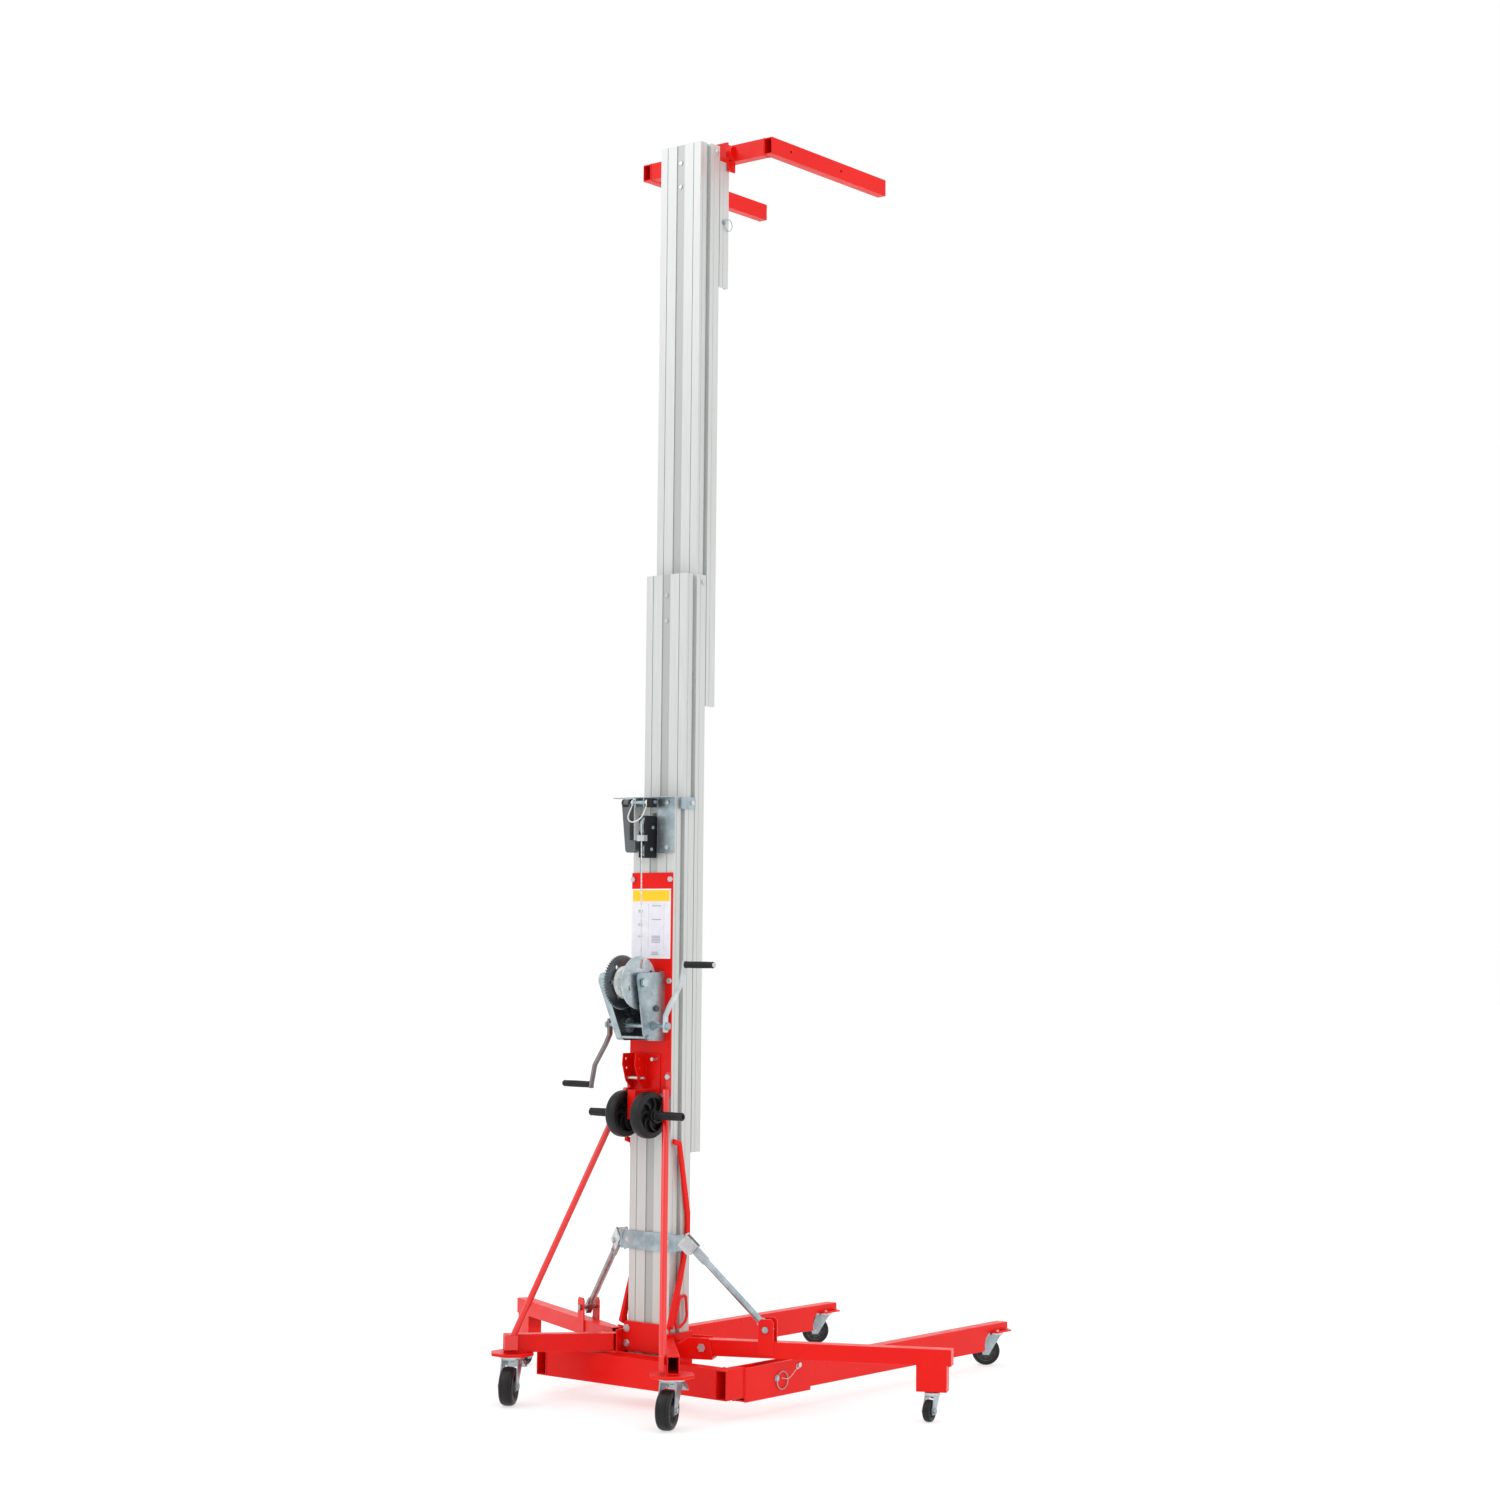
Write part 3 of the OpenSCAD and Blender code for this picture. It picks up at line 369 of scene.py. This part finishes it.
MATS = {
    "red_paint": red_paint(),
    "aluminium": aluminium(),
    "zinc": zinc(),
    "tyre": moulded(
        "tyre", (0.005, 0.005, 0.006), (0.014, 0.014, 0.014), 0.30, 0.55, 500, (0.05, 0.05, 0.05), 0.28,
    ),
    "black_plastic": moulded(
        "black_plastic", (0.006, 0.006, 0.007), (0.015, 0.015, 0.017), 0.34, 0.52, 900,
        (0.09, 0.09, 0.09), 0.26,
    ),
    "grey_plastic": moulded(
        "grey_plastic", (0.085, 0.096, 0.103), (0.125, 0.138, 0.146), 0.38, 0.55, 700,
        (0.26, 0.27, 0.28), 0.35,
    ),
    "label": label_film(),
    "wire": wire_steel(),
}
# Painted shade: the winch's inside takes the dark colour.
MATS["winch"] = zinc("winch_zinc", dark=(0.050, 0.062, 0.070), part=winch_inside_shade)
# Painted shade: the drum's gear side (x below -23.5 mm) takes the dark colour.
MATS["drum"] = zinc("drum_zinc", (0.36, 0.44, 0.48), (0.60, 0.68, 0.72), 0.85, (0.085, 0.105, 0.120),
                    lambda m: m.math("MULTIPLY", m.math("LESS_THAN", m.axis(0), -0.0235), 0.9))
# Painted shade: the idler gear is given a near-black zinc where it sits in shadow.
MATS["gear"] = zinc("gear_painted_shade", (0.060, 0.070, 0.078), (0.11, 0.125, 0.135))
# Painted shade: the left crank arm (x below 0) takes a darker, browner colour.
MATS["crank"] = zinc("crank_zinc", (0.46, 0.53, 0.56), (0.66, 0.72, 0.74), 0.8, (0.17, 0.135, 0.13),
                     lambda m: m.math("MULTIPLY", m.math("LESS_THAN", m.axis(0), 0.0), 0.85))
MATS["gloss_red"] = red_paint("gloss_red", 0.55, 0.5)
MATS["white_wire"] = zinc("white_wire", (0.66, 0.68, 0.67), (0.84, 0.86, 0.84), 0.3)
MATS["dark_rod"] = zinc("dark_rod", (0.28, 0.25, 0.25), (0.46, 0.42, 0.42))
MATS["bright"] = zinc("bright_zinc", (0.50, 0.53, 0.54), (0.68, 0.70, 0.71))
MATS["hub"] = moulded("hub", (0.045, 0.047, 0.05), (0.075, 0.078, 0.08), 0.4, 0.6)

# ------------------------------------------------------------------ mesh helpers

SMOOTH_BELOW = math.radians(36)


def finish_mesh(name, bm, body, slot, mat=None, replaces=()):
    """Turns a bmesh in the row frame into a piece that rides on a body."""
    bmesh.ops.recalc_face_normals(bm, faces=bm.faces)
    mesh = bpy.data.meshes.new(name)
    bm.to_mesh(mesh)
    bm.free()
    for poly in mesh.polygons:
        poly.use_smooth = True
    mesh.set_sharp_from_angle(angle=SMOOTH_BELOW)
    mesh.materials.append(mat or MATS[slot])
    piece = bpy.data.objects.new(name, mesh)
    scene.collection.objects.link(piece)
    weighted = piece.modifiers.new("even_shading", "WEIGHTED_NORMAL")
    weighted.keep_sharp = True
    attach(piece, body)
    if replaces:
        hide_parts(*replaces)
    return piece


def flat_reach(edge, face):
    """How far a face runs away from one of its edges."""
    a, b = edge.verts[0].co, edge.verts[1].co
    along = (b - a).normalized()
    return max(((v.co - a) - along * (v.co - a).dot(along)).length for v in face.verts)


def convex_edges(bm, least_reach, least_length, sharp=math.radians(38)):
    found = []
    for e in bm.edges:
        if len(e.link_faces) != 2 or e.calc_length() < least_length:
            continue
        reach = min(flat_reach(e, f) for f in e.link_faces)
        if e.calc_face_angle_signed(0.0) > sharp and reach > least_reach:
            found.append(e)
    return found


def cut_edges(bm, edges, size, segments):
    """Bevels edges without letting two cuts run into each other."""
    bmesh.ops.bevel(
        bm, geom=edges, offset=size, segments=segments, profile=0.5, affect="EDGES", clamp_overlap=True,
    )


def refined(node, tube_r=0.0, edge_r=0.0006, tube_reach=0.025, mat=None):
    """A CAD node's shape as a clean mesh with rolled tube corners and broken edges."""
    bm = bmesh.new()
    bm.from_mesh(NODES[node].data)
    bmesh.ops.remove_doubles(bm, verts=bm.verts, dist=2e-5)
    bmesh.ops.dissolve_limit(bm, angle_limit=math.radians(0.6), verts=bm.verts, edges=bm.edges)
    if tube_r:
        cut_edges(bm, convex_edges(bm, tube_reach, 0.03), tube_r, 3)
    if edge_r:
        least = edge_r * 2.4
        cut_edges(bm, convex_edges(bm, least, least, math.radians(50)), edge_r, 1)
    return finish_mesh(node + "_finished", bm, BODY_OF[node], SLOT_OF[node], mat, (node,))


# ------------------------------------------------------------------ shape helpers

JOINTS = {j["name"]: j for j in frame["record"]["behaviour"]["joints"]}


def joint_frame(name):
    """A joint's point and axis in the row frame, with two directions square to the axis."""
    at, axis = Vector(JOINTS[name]["pos_m"]), Vector(JOINTS[name]["axis"]).normalized()
    across = axis.orthogonal().normalized()
    return at, axis, across, axis.cross(across)


def square_to(axis):
    across = axis.orthogonal().normalized()
    return across, axis.cross(across)


def lathe(bm, at, axis, profile, segs=48, closed=True, turn=0.0):
    """Turns (along, radius) pairs in metres about an axis; a closed profile makes a ring."""
    u, v = square_to(axis)
    rings = []
    for k in range(segs):
        a = turn + 2 * math.pi * k / segs
        out = u * math.cos(a) + v * math.sin(a)
        rings.append([bm.verts.new(at + axis * t + out * r) for t, r in profile])
    n = len(profile)
    last = n if closed else n - 1
    for k in range(segs):
        one, two = rings[k], rings[(k + 1) % segs]
        for i in range(last):
            j = (i + 1) % n
            bm.faces.new((one[i], one[j], two[j], two[i]))
    if not closed:
        bm.faces.new([ring[0] for ring in rings])
        bm.faces.new([ring[-1] for ring in reversed(rings)])


def sweep(bm, points, radius, segs=10, loop=False, lobes=0, depth=0.0, twist=0.0, swell=None):
    """A round or stranded rod along a line of points."""
    n = len(points)
    tangents = []
    for i in range(n):
        before = points[i - 1] if i or loop else points[0]
        after = points[(i + 1) % n] if i < n - 1 or loop else points[-1]
        tangents.append((after - before).normalized())
    u = tangents[0].orthogonal().normalized()
    rings, run = [], 0.0
    for i in range(n):
        u = (u - tangents[i] * u.dot(tangents[i])).normalized()
        v = tangents[i].cross(u)
        if i:
            run += (points[i] - points[i - 1]).length
        size = radius * (swell(i) if swell else 1.0)
        ring = []
        for k in range(segs):
            a = 2 * math.pi * k / segs
            r = size * (1 - depth * (0.5 - 0.5 * math.cos(lobes * (a + twist * run)))) if lobes else size
            ring.append(bm.verts.new(points[i] + (u * math.cos(a) + v * math.sin(a)) * r))
        rings.append(ring)
    for i in range(n if loop else n - 1):
        one, two = rings[i], rings[(i + 1) % n]
        for k in range(segs):
            j = (k + 1) % segs
            bm.faces.new((one[k], one[j], two[j], two[k]))
    if not loop:
        bm.faces.new(list(reversed(rings[0])))
        bm.faces.new(rings[-1])


def block(bm, at, ax, ay, az, sx, sy, sz, round_by=0.0):
    """A box about a point along three directions, with broken edges."""
    part = bmesh.new()
    bmesh.ops.create_cube(part, size=1.0)
    for vert in part.verts:
        c = vert.co.copy()
        vert.co = at + ax * (c.x * sx) + ay * (c.y * sy) + az * (c.z * sz)
    if round_by:
        bmesh.ops.bevel(part, geom=part.edges[:], offset=round_by, segments=2, profile=0.5, affect="EDGES")
    spare = bpy.data.meshes.new("spare")
    part.to_mesh(spare)
    part.free()
    bm.from_mesh(spare)
    bpy.data.meshes.remove(spare)


WASHER_THICK = 0.0016


def bolt(bm, at, axis, flats, high, washer=0.0):
    """A hexagon head with a chamfered crown and an optional washer under it."""
    r = flats / 2 / math.cos(math.pi / 6)
    base = 0.0
    if washer:
        base = WASHER_THICK
        rim = [(0, 0.0005), (0, washer), (0.0012, washer), (base, washer - 0.0004), (base, 0.0005)]
        lathe(bm, at, axis, rim, 32)
    lathe(bm, at, axis, [(base, r), (high * 0.78, r), (high, r * 0.84)], 6, closed=False)
    crown = [(-0.0004, r * 0.60), (0.0004, r * 0.56), (0.0004, 0.0004)]
    lathe(bm, at + axis * high, axis, crown, 20, closed=False)


def weld(bm, a, b, r=0.0032):
    """A rippled weld bead between two points."""
    steps = max(6, int((b - a).length / 0.0035))
    sweep(bm, [a.lerp(b, i / steps) for i in range(steps + 1)], r, 8,
          swell=lambda i: 0.86 + 0.16 * math.cos(i * 2.4) + 0.05 * math.sin(i * 1.3))


X, Y, Z = Vector((1, 0, 0)), Vector((0, 1, 0)), Vector((0, 0, 1))
DONE = set()

# ------------------------------------------------------------------ casters


def caster(side, roll, swivel, r, w, plate, half):
    """Tyre, hub, king nut and toothed swivel ring of one caster."""
    at, axis, u, v = joint_frame(roll)
    body = JOINTS[roll]["child"]
    bm = bmesh.new()
    lathe(bm, at, axis, [
        (-0.5 * w, 0.70 * r), (-0.5 * w, 0.80 * r), (-0.485 * w, 0.86 * r), (-0.44 * w, 0.915 * r),
        (-0.37 * w, 0.952 * r), (-0.30 * w, 0.974 * r), (-0.285 * w, 0.962 * r), (-0.265 * w, 0.962 * r),
        (-0.25 * w, 0.986 * r), (-0.12 * w, 0.998 * r), (0.0, r), (0.12 * w, 0.998 * r),
        (0.25 * w, 0.986 * r), (0.265 * w, 0.962 * r), (0.285 * w, 0.962 * r), (0.30 * w, 0.974 * r),
        (0.37 * w, 0.952 * r), (0.44 * w, 0.915 * r), (0.485 * w, 0.86 * r), (0.5 * w, 0.80 * r),
        (0.5 * w, 0.70 * r), (0.3 * w, 0.66 * r), (-0.3 * w, 0.66 * r),
    ], 72)
    finish_mesh(side + "_tyre", bm, body, "tyre", None, (side,))
    DONE.add(side)
    bm = bmesh.new()
    lathe(bm, at, axis, [
        (-0.47 * w, 0.30 * r), (-0.5 * w - 0.0012, 0.28 * r), (-0.5 * w - 0.0012, 0.10 * r),
        (-0.3 * w, 0.09 * r),
        (0.3 * w, 0.09 * r), (0.5 * w + 0.0012, 0.10 * r), (0.5 * w + 0.0012, 0.28 * r), (0.47 * w, 0.30 * r),
        (0.12 * w, 0.32 * r), (0.10 * w, 0.60 * r), (0.42 * w, 0.64 * r), (0.46 * w, 0.70 * r),
        (0.40 * w, 0.715 * r), (-0.40 * w, 0.715 * r), (-0.46 * w, 0.70 * r), (-0.42 * w, 0.64 * r),
        (-0.10 * w, 0.60 * r), (-0.12 * w, 0.32 * r),
    ], 48)
    for k in range(8):
        a = math.pi * k / 4
        out = u * math.cos(a) + v * math.sin(a)
        block(bm, at + out * (0.47 * r), axis, out, axis.cross(out), 0.72 * w, 0.36 * r, 0.003, 0.0006)
    finish_mesh(side + "_hub", bm, body, "black_plastic", MATS["hub"])
    top, _, _, _ = joint_frame(swivel)
    fork = JOINTS[swivel]["child"]
    down = Vector((top.x, top.y, plate))
    bm = bmesh.new()
    bolt(bm, down - Z * 0.0139, -Z, half * 0.48, 0.008, half * 0.33)
    for k in range(18):
        a = 2 * math.pi * k / 18
        out = Vector((math.cos(a), math.sin(a), 0))
        spot = down - Z * 0.0152 + out * (half * 0.60)
        block(bm, spot, out, Z.cross(out), Z, half * 0.16, half * 0.11, 0.0028, 0.0004)
    finish_mesh(fork + "_king_nut", bm, fork, "zinc", MATS["bright"])
    bm = bmesh.new()
    lathe(bm, down, Z, [
        (-0.0102, half * 0.90), (-0.0096, half * 0.985), (-0.0034, half * 0.985), (-0.0028, half * 0.95),
        (-0.0028, half * 0.70), (-0.0012, half * 0.66), (-0.0012, half * 0.5), (-0.0102, half * 0.5),
    ], 48)
    finish_mesh(fork + "_race", bm, fork, "zinc", MATS["bright"])


# Wheel radius, tread width, height of the plate's underside and half the plate's width, in metres.
CASTERS = {
    "rear": (0.0625, 0.046, 0.156, 0.042),
    "front": (0.050, 0.032, 0.119, 0.032),
    "stab": (0.035, 0.024, 0.092, 0.026),
}
for s in ("left", "right"):
    for kind, sizes in CASTERS.items():
        caster(kind + "_wheel_" + s, "%s_%s_roll" % (kind, s), "%s_%s_swivel" % (kind, s), *sizes)

CARRY_AXLE = P(0, -82, 941)


def carry_wheel(node, x_of):
    """A moulded wheel with seven swept spokes."""
    body = BODY_OF[node]
    at = CARRY_AXLE
    bm = bmesh.new()

    def ring(profile, segs):
        lathe(bm, at, X, [(x_of(t) / 1000, r / 1000) for t, r in profile], segs)

    ring([(24, 57), (24, 68), (26.5, 72.5), (31, 75), (38, 76), (43.4, 76), (43.8, 75.4), (44.2, 75.4),
          (44.6, 76), (50, 76), (57, 75), (61.5, 72.5), (64, 68), (64, 57), (60, 54.5), (28, 54.5)], 72)
    ring([(21, 10), (21, 17), (22, 18), (71, 18), (72, 17), (72, 10)], 40)
    ring([(41, 17), (41, 55), (46, 55), (46, 17)], 48)
    for k in range(7):
        steps = 7
        prev = None
        for i in range(steps + 1):
            f = i / steps
            r = 16.5 + f * 39.5
            a = 2 * math.pi * k / 7 + 0.62 * f * f
            half = (5.2 - 1.6 * f) / r
            quad = []
            near, far = 29 + 3 * (1 - f), 60 - 3 * (1 - f)
            for t, side in ((near, -1), (near, 1), (far, 1), (far, -1)):
                b = a + side * half
                out = Y * math.cos(b) + Z * math.sin(b)
                quad.append(bm.verts.new(at + X * (x_of(t) / 1000) + out * (r / 1000)))
            if prev:
                for j in range(4):
                    bm.faces.new((prev[j], prev[(j + 1) % 4], quad[(j + 1) % 4], quad[j]))
            prev = quad
    finish_mesh(node + "_moulding", bm, body, "black_plastic", None, (node,))
    DONE.add(node)


carry_wheel("carry_wheel_left", lambda t: -t)
carry_wheel("carry_wheel_right", lambda t: t + 17)

# ------------------------------------------------------------------ grips and handles


def grip_profile(x0, x1, r, ribs, bore):
    """(along, radius) pairs for a ribbed grip in millimetres."""
    out = [(x0, bore), (x0, r - 1.2), (x0 + 1.2, r), (x0 + 5, r), (x0 + 6.4, r - 1.4)]
    span = (x1 - x0 - 20) / ribs
    for i in range(ribs):
        a = x0 + 8 + i * span
        swell = 0.5 * math.sin(math.pi * (i + 0.5) / ribs)
        low, top = r - 1.7, r - 0.9 + swell
        out += [(a, low), (a + span * 0.2, top), (a + span * 0.7, top), (a + span * 0.9, low)]
    return out + [(x1 - 7, r - 1.2), (x1 - 4, r - 0.4), (x1 - 1.5, r - 1.1), (x1, r - 3), (x1, bore)]


for node, joint in (("crank_grip_right", "grip_right_spin"), ("crank_grip_left", "grip_left_spin")):
    at, _, _, _ = joint_frame(joint)
    s = 1 if node.endswith("right") else -1
    bm = bmesh.new()
    lathe(bm, at, X * s, [(t / 1000, r / 1000) for t, r in grip_profile(-58.4, 58.4, 11.5, 14, 5.1)], 40)
    finish_mesh(node + "_ribbed", bm, BODY_OF[node], "black_plastic", None, (node,))
    DONE.add(node)

bm = bmesh.new()
lathe(bm, CARRY_AXLE, X, [(-0.080, 0.0098), (0.100, 0.0098)], 32, closed=False)
lathe(bm, CARRY_AXLE, X, [(t / 1000, r / 1000) for t, r in grip_profile(92, 206, 14, 11, 6.5)], 40)
lathe(bm, CARRY_AXLE, -X, [(t / 1000, r / 1000) for t, r in grip_profile(75, 189, 14, 11, 6.5)], 40)
lathe(bm, CARRY_AXLE, X, [(0.196, 0.0066), (0.202, 0.0066)], 24, closed=False)
lathe(bm, CARRY_AXLE, -X, [(0.179, 0.0066), (0.185, 0.0066)], 24, closed=False)
finish_mesh("carry_axle_grips", bm, BODY_OF["carry_axle"], "black_plastic", None, ("carry_axle",))
DONE.add("carry_axle")

# ------------------------------------------------------------------ rope

drum_at, _, _, _ = joint_frame("drum_turn")
bm = bmesh.new()
COIL_START, COIL_RUN, COIL_R = -0.0212, 0.0572, 0.0516
turns, per = 13, 44
coil = []
for i in range(turns * per + 1):
    a = 2 * math.pi * i / per
    x = COIL_START + COIL_RUN * i / (turns * per)
    coil.append(Vector((x, drum_at.y + COIL_R * math.cos(a), drum_at.z + COIL_R * math.sin(a))))
sweep(bm, coil, 0.00236, 10, lobes=5, depth=0.16, twist=0.0)
core = [(-0.0232, 0.0305), (-0.0232, 0.0504), (0.0378, 0.0504), (0.0378, 0.0305)]
lathe(bm, Vector((0, drum_at.y, drum_at.z)), X, core, 48)
finish_mesh("rope_coil_wound", bm, BODY_OF["rope_coil"], "wire", None, ("rope_coil",))
DONE.add("rope_coil")

bm = bmesh.new()
a, b = P(2, -58, 1368), P(0, -61.9, 1876)
line = [a.lerp(b, i / 220) for i in range(221)]
sheave_at = P(0, -24, 1876)
for i in range(1, 25):
    t = math.pi * i / 24
    line.append(sheave_at + Vector((0, -0.0379 * math.cos(t), 0.0379 * math.sin(t))))
line += [P(0, 13.9, 1876 - 116 * i / 40) for i in range(1, 41)]
sweep(bm, line, 0.00238, 18, lobes=6, depth=0.22, twist=95.0)
finish_mesh("lift_cable_stranded", bm, BODY_OF["lift_cable"], "wire", None, ("lift_cable",))
DONE.add("lift_cable")

# ------------------------------------------------------------------ latch caps at the mast's top

bm = bmesh.new()
for x0, x1 in ((-103, -95), (-75, -68)):
    x0, x1 = x0 / 1000, x1 / 1000
    lathe(bm, P(0, -34, 1959), X, [(x0, 0.0062), (x0, 0.0126), (x1, 0.0126), (x1, 0.0062)], 40)
block(bm, P(-85.5, -34, 1954), X, Y, Z, 0.0335, 0.0222, 0.024, 0.003)
finish_mesh("latch_lever_cap", bm, BODY_OF["latch_lever"], "black_plastic")

# ------------------------------------------------------------------ the stabiliser rods' bracket


def drilled(bm, at, ax, ay, az, sx, sy, thick, hole, deep=8):
    """A plate lying along ax and ay with a round hole through its middle."""
    corner = math.atan2(sy, sx)
    stops = [corner, math.pi - corner, math.pi + corner, 2 * math.pi - corner, 2 * math.pi + corner]
    angles = [a + (b - a) * k / deep for a, b in zip(stops, stops[1:]) for k in range(deep)]
    rings = []
    for a in angles:
        c, d = math.cos(a), math.sin(a)
        out = min(sx / 2 / max(abs(c), 1e-9), sy / 2 / max(abs(d), 1e-9))
        rim = out - 0.0006
        one = []
        for r, t in ((hole, -0.5), (rim, -0.5), (out, -0.38), (out, 0.38), (rim, 0.5), (hole, 0.5)):
            one.append(bm.verts.new(at + ax * (c * r) + ay * (d * r) + az * (t * thick)))
        rings.append(one)
    for k in range(len(rings)):
        one, two = rings[k], rings[(k + 1) % len(rings)]
        for i in range(6):
            j = (i + 1) % 6
            bm.faces.new((one[i], one[j], two[j], two[i]))


BRACKET_Z = 526
bm = bmesh.new()
block(bm, P(0, -3.75, BRACKET_Z), X, Y, Z, 0.236, 0.0065, 0.060, 0.0009)
for s in (-1, 1):
    a, b = P(s * 114, -4.5, BRACKET_Z), P(s * 139, 8, 530)
    way = (b - a).normalized()
    flat = way.cross(Z).normalized()
    block(bm, (a + b) / 2, way, flat, way.cross(flat), (b - a).length + 0.008, 0.006, 0.048, 0.0012)
finish_mesh("brace_bracket_band", bm, "base", "zinc", None, ("brace_bracket",))
DONE.add("brace_bracket")
bm = bmesh.new()
tilt = math.radians(25.2)
for s in (-1, 1):
    along = Vector((s * math.cos(tilt), math.sin(tilt), 0))
    over = Vector((-s * math.sin(tilt), math.cos(tilt), 0))
    pin = P(s * 195, 50, 515) - along * 0.040
    up, back = (along + Z).normalized(), (Z - along).normalized()
    for q in (-1, 1):
        cheek = pin - up * 0.005 + back * 0.0165 + over * (q * 0.0172)
        block(bm, cheek, up, over, back, 0.046, 0.005, 0.057, 0.0012)
        bolt(bm, pin + over * (q * 0.0197), over * q, 0.016, 0.006)
    lathe(bm, pin, over, [(-0.0195, 0.0059), (0.0195, 0.0059)], 24, closed=False)
    drilled(bm, pin - up * 0.005 + back * 0.0425, up, over, back, 0.046, 0.0394, 0.005, 0.0055)
finish_mesh("brace_bracket_hooks", bm, "base", "zinc", MATS["bright"])

# ------------------------------------------------------------------ bolts, washers and small steel parts

bm = bmesh.new()
for z in (4135, 4053):
    bolt(bm, P(0, 103, z), -Y, 0.013, 0.0038)
bolt(bm, P(96, 174, 4172), X, 0.013, 0.006, 0.010)
bolt(bm, P(-96, 174, 4172), -X, 0.013, 0.006, 0.010)
finish_mesh("mast_inner_bolts", bm, "mast_inner", "zinc", MATS["bright"])
bm = bmesh.new()
for z in (2654, 2569):
    bolt(bm, P(0, 53, z), -Y, 0.013, 0.0038)
bolt(bm, P(96, 124, 2699), X, 0.013, 0.006, 0.010)
bolt(bm, P(-96, 124, 2699), -X, 0.013, 0.006, 0.010)
finish_mesh("mast_middle_bolts", bm, "mast_middle", "zinc", MATS["bright"])

bm = bmesh.new()
for x in (-87, 87):
    bolt(bm, P(x, -7, BRACKET_Z), -Y, 0.013, 0.006, 0.010)
for x, y, z in ((-84, -10.2, 190), (84, -10.2, 190), (-84, -10.2, 238), (84, -10.2, 238)):
    lathe(bm, P(x, y, z), -Y, [(0, 0.001), (0, 0.0125), (0.0016, 0.0125), (0.002, 0.012), (0.002, 0.001)], 32)
finish_mesh("frame_bolts", bm, "base", "zinc", MATS["bright"])

# Lanyard wires from the leg pins' rings to their bolts.
LANYARD_STEPS = 24
bm = bmesh.new()
for s in (-1, 1):
    a, b = P(s * 417, 176, 108), P(s * 414, 268, 134)
    pts = []
    for i in range(LANYARD_STEPS + 1):
        turn = math.pi * i / LANYARD_STEPS
        sag, bow = Z * (0.016 * math.sin(turn)), X * (s * 0.003 * math.sin(2 * turn))
        pts.append(a.lerp(b, i / LANYARD_STEPS) - sag + bow)
    sweep(bm, pts, 0.0010, 8)
    lathe(bm, b - X * (s * 0.0045), X * s, [(0, 0.006), (0, 0.009), (0.002, 0.009), (0.002, 0.006)], 24)
finish_mesh("pin_lanyards", bm, "base", "wire")

# ------------------------------------------------------------------ weld beads

bm = bmesh.new()
for s in (-1, 1):
    for y in (-94, -44):
        weld(bm, P(s * 361, y, 66), P(s * 361, y, 159))
    weld(bm, P(s * 361, -93, 160), P(s * 361, -45, 160))
    for y in (-2, 336):
        weld(bm, P(s * 406.5, y, 62), P(s * 406.5, y, 156), 0.0026)
    weld(bm, P(s * 103.5, -36, 166), P(s * 103.5, 96, 166), 0.0034)
    weld(bm, P(s * 98, -6, 252), P(s * 98, -3, 256), 0.003)
    out = Vector((s * math.cos(math.radians(133.2)), math.sin(math.radians(133.2)), 0))
    for q in (-1, 1):
        a = P(s * 362, -300, 166) + Vector((-s * out.y, s * out.x, 0)).normalized() * (0.0205 * q)
        weld(bm, a + out * 0.004, a + out * 0.074, 0.003)
finish_mesh("frame_welds", bm, "base", "red_paint")
bm = bmesh.new()
for s in (-1, 1):
    for z in (4150, 4208):
        weld(bm, P(s * 251.5, 236, z), P(s * 251.5, 270, z), 0.0024)
    weld(bm, P(s * 251, 234.5, 4152), P(s * 251, 234.5, 4206), 0.0022)
finish_mesh("fork_welds", bm, "carriage", "red_paint")

# ------------------------------------------------------------------ the other CAD shapes

TUBES = {
    "base_frame": 0.006, "leg_left": 0.005, "leg_right": 0.005, "rear_beams": 0.005, "fork_left": 0.004,
    "fork_right": 0.004, "fork_crossbar": 0.004, "stab_arm_left": 0.0045, "stab_arm_right": 0.0045,
}
FINE = {
    "mast_outer": 0.0008, "mast_middle": 0.0008, "mast_inner": 0.0008, "carriage_column": 0.0008,
    "mast_foot": 0.0014, "winch_plate": 0.001, "winch_frame": 0.0007, "lower_bracket": 0.001,
    "side_bars": 0.0018, "top_bracket": 0.0005, "pulley_block": 0.0008, "stab_mounts": 0.0012,
    "caster_plates": 0.0016, "crank_arms": 0.0014, "latch_lever": 0.003, "stab_rod_left": 0.0008,
    "stab_rod_right": 0.0008, "rear_fork_left": 0.0008, "rear_fork_right": 0.0008,
    "front_fork_left": 0.0008, "front_fork_right": 0.0008, "stab_fork_left": 0.0006,
    "stab_fork_right": 0.0006, "brake_left": 0.0006, "brake_right": 0.0006, "root_fittings": 0.0006,
    "drum": 0.0005, "rear_braces": 0.0012, "crank_shaft": 0.0005, "upper_sheave": 0.0004,
    "lower_sheave": 0.0004,
}
SPECIAL = {
    "winch_frame": "winch", "drum": "drum", "idler_gear": "gear", "crank_arms": "crank",
    "rear_braces": "gloss_red", "wire_bail": "white_wire", "stab_rod_left": "dark_rod",
    "root_fittings": "bright",
}
for node in NODES:
    if node in DONE:
        continue
    mat = MATS[SPECIAL.get(node, SLOT_OF[node])]
    if node in TUBES:
        refined(node, TUBES[node], mat=mat)
    elif node in FINE:
        refined(node, 0.0, FINE[node], mat=mat)
    else:
        NODES[node].data.materials.clear()
        NODES[node].data.materials.append(mat)
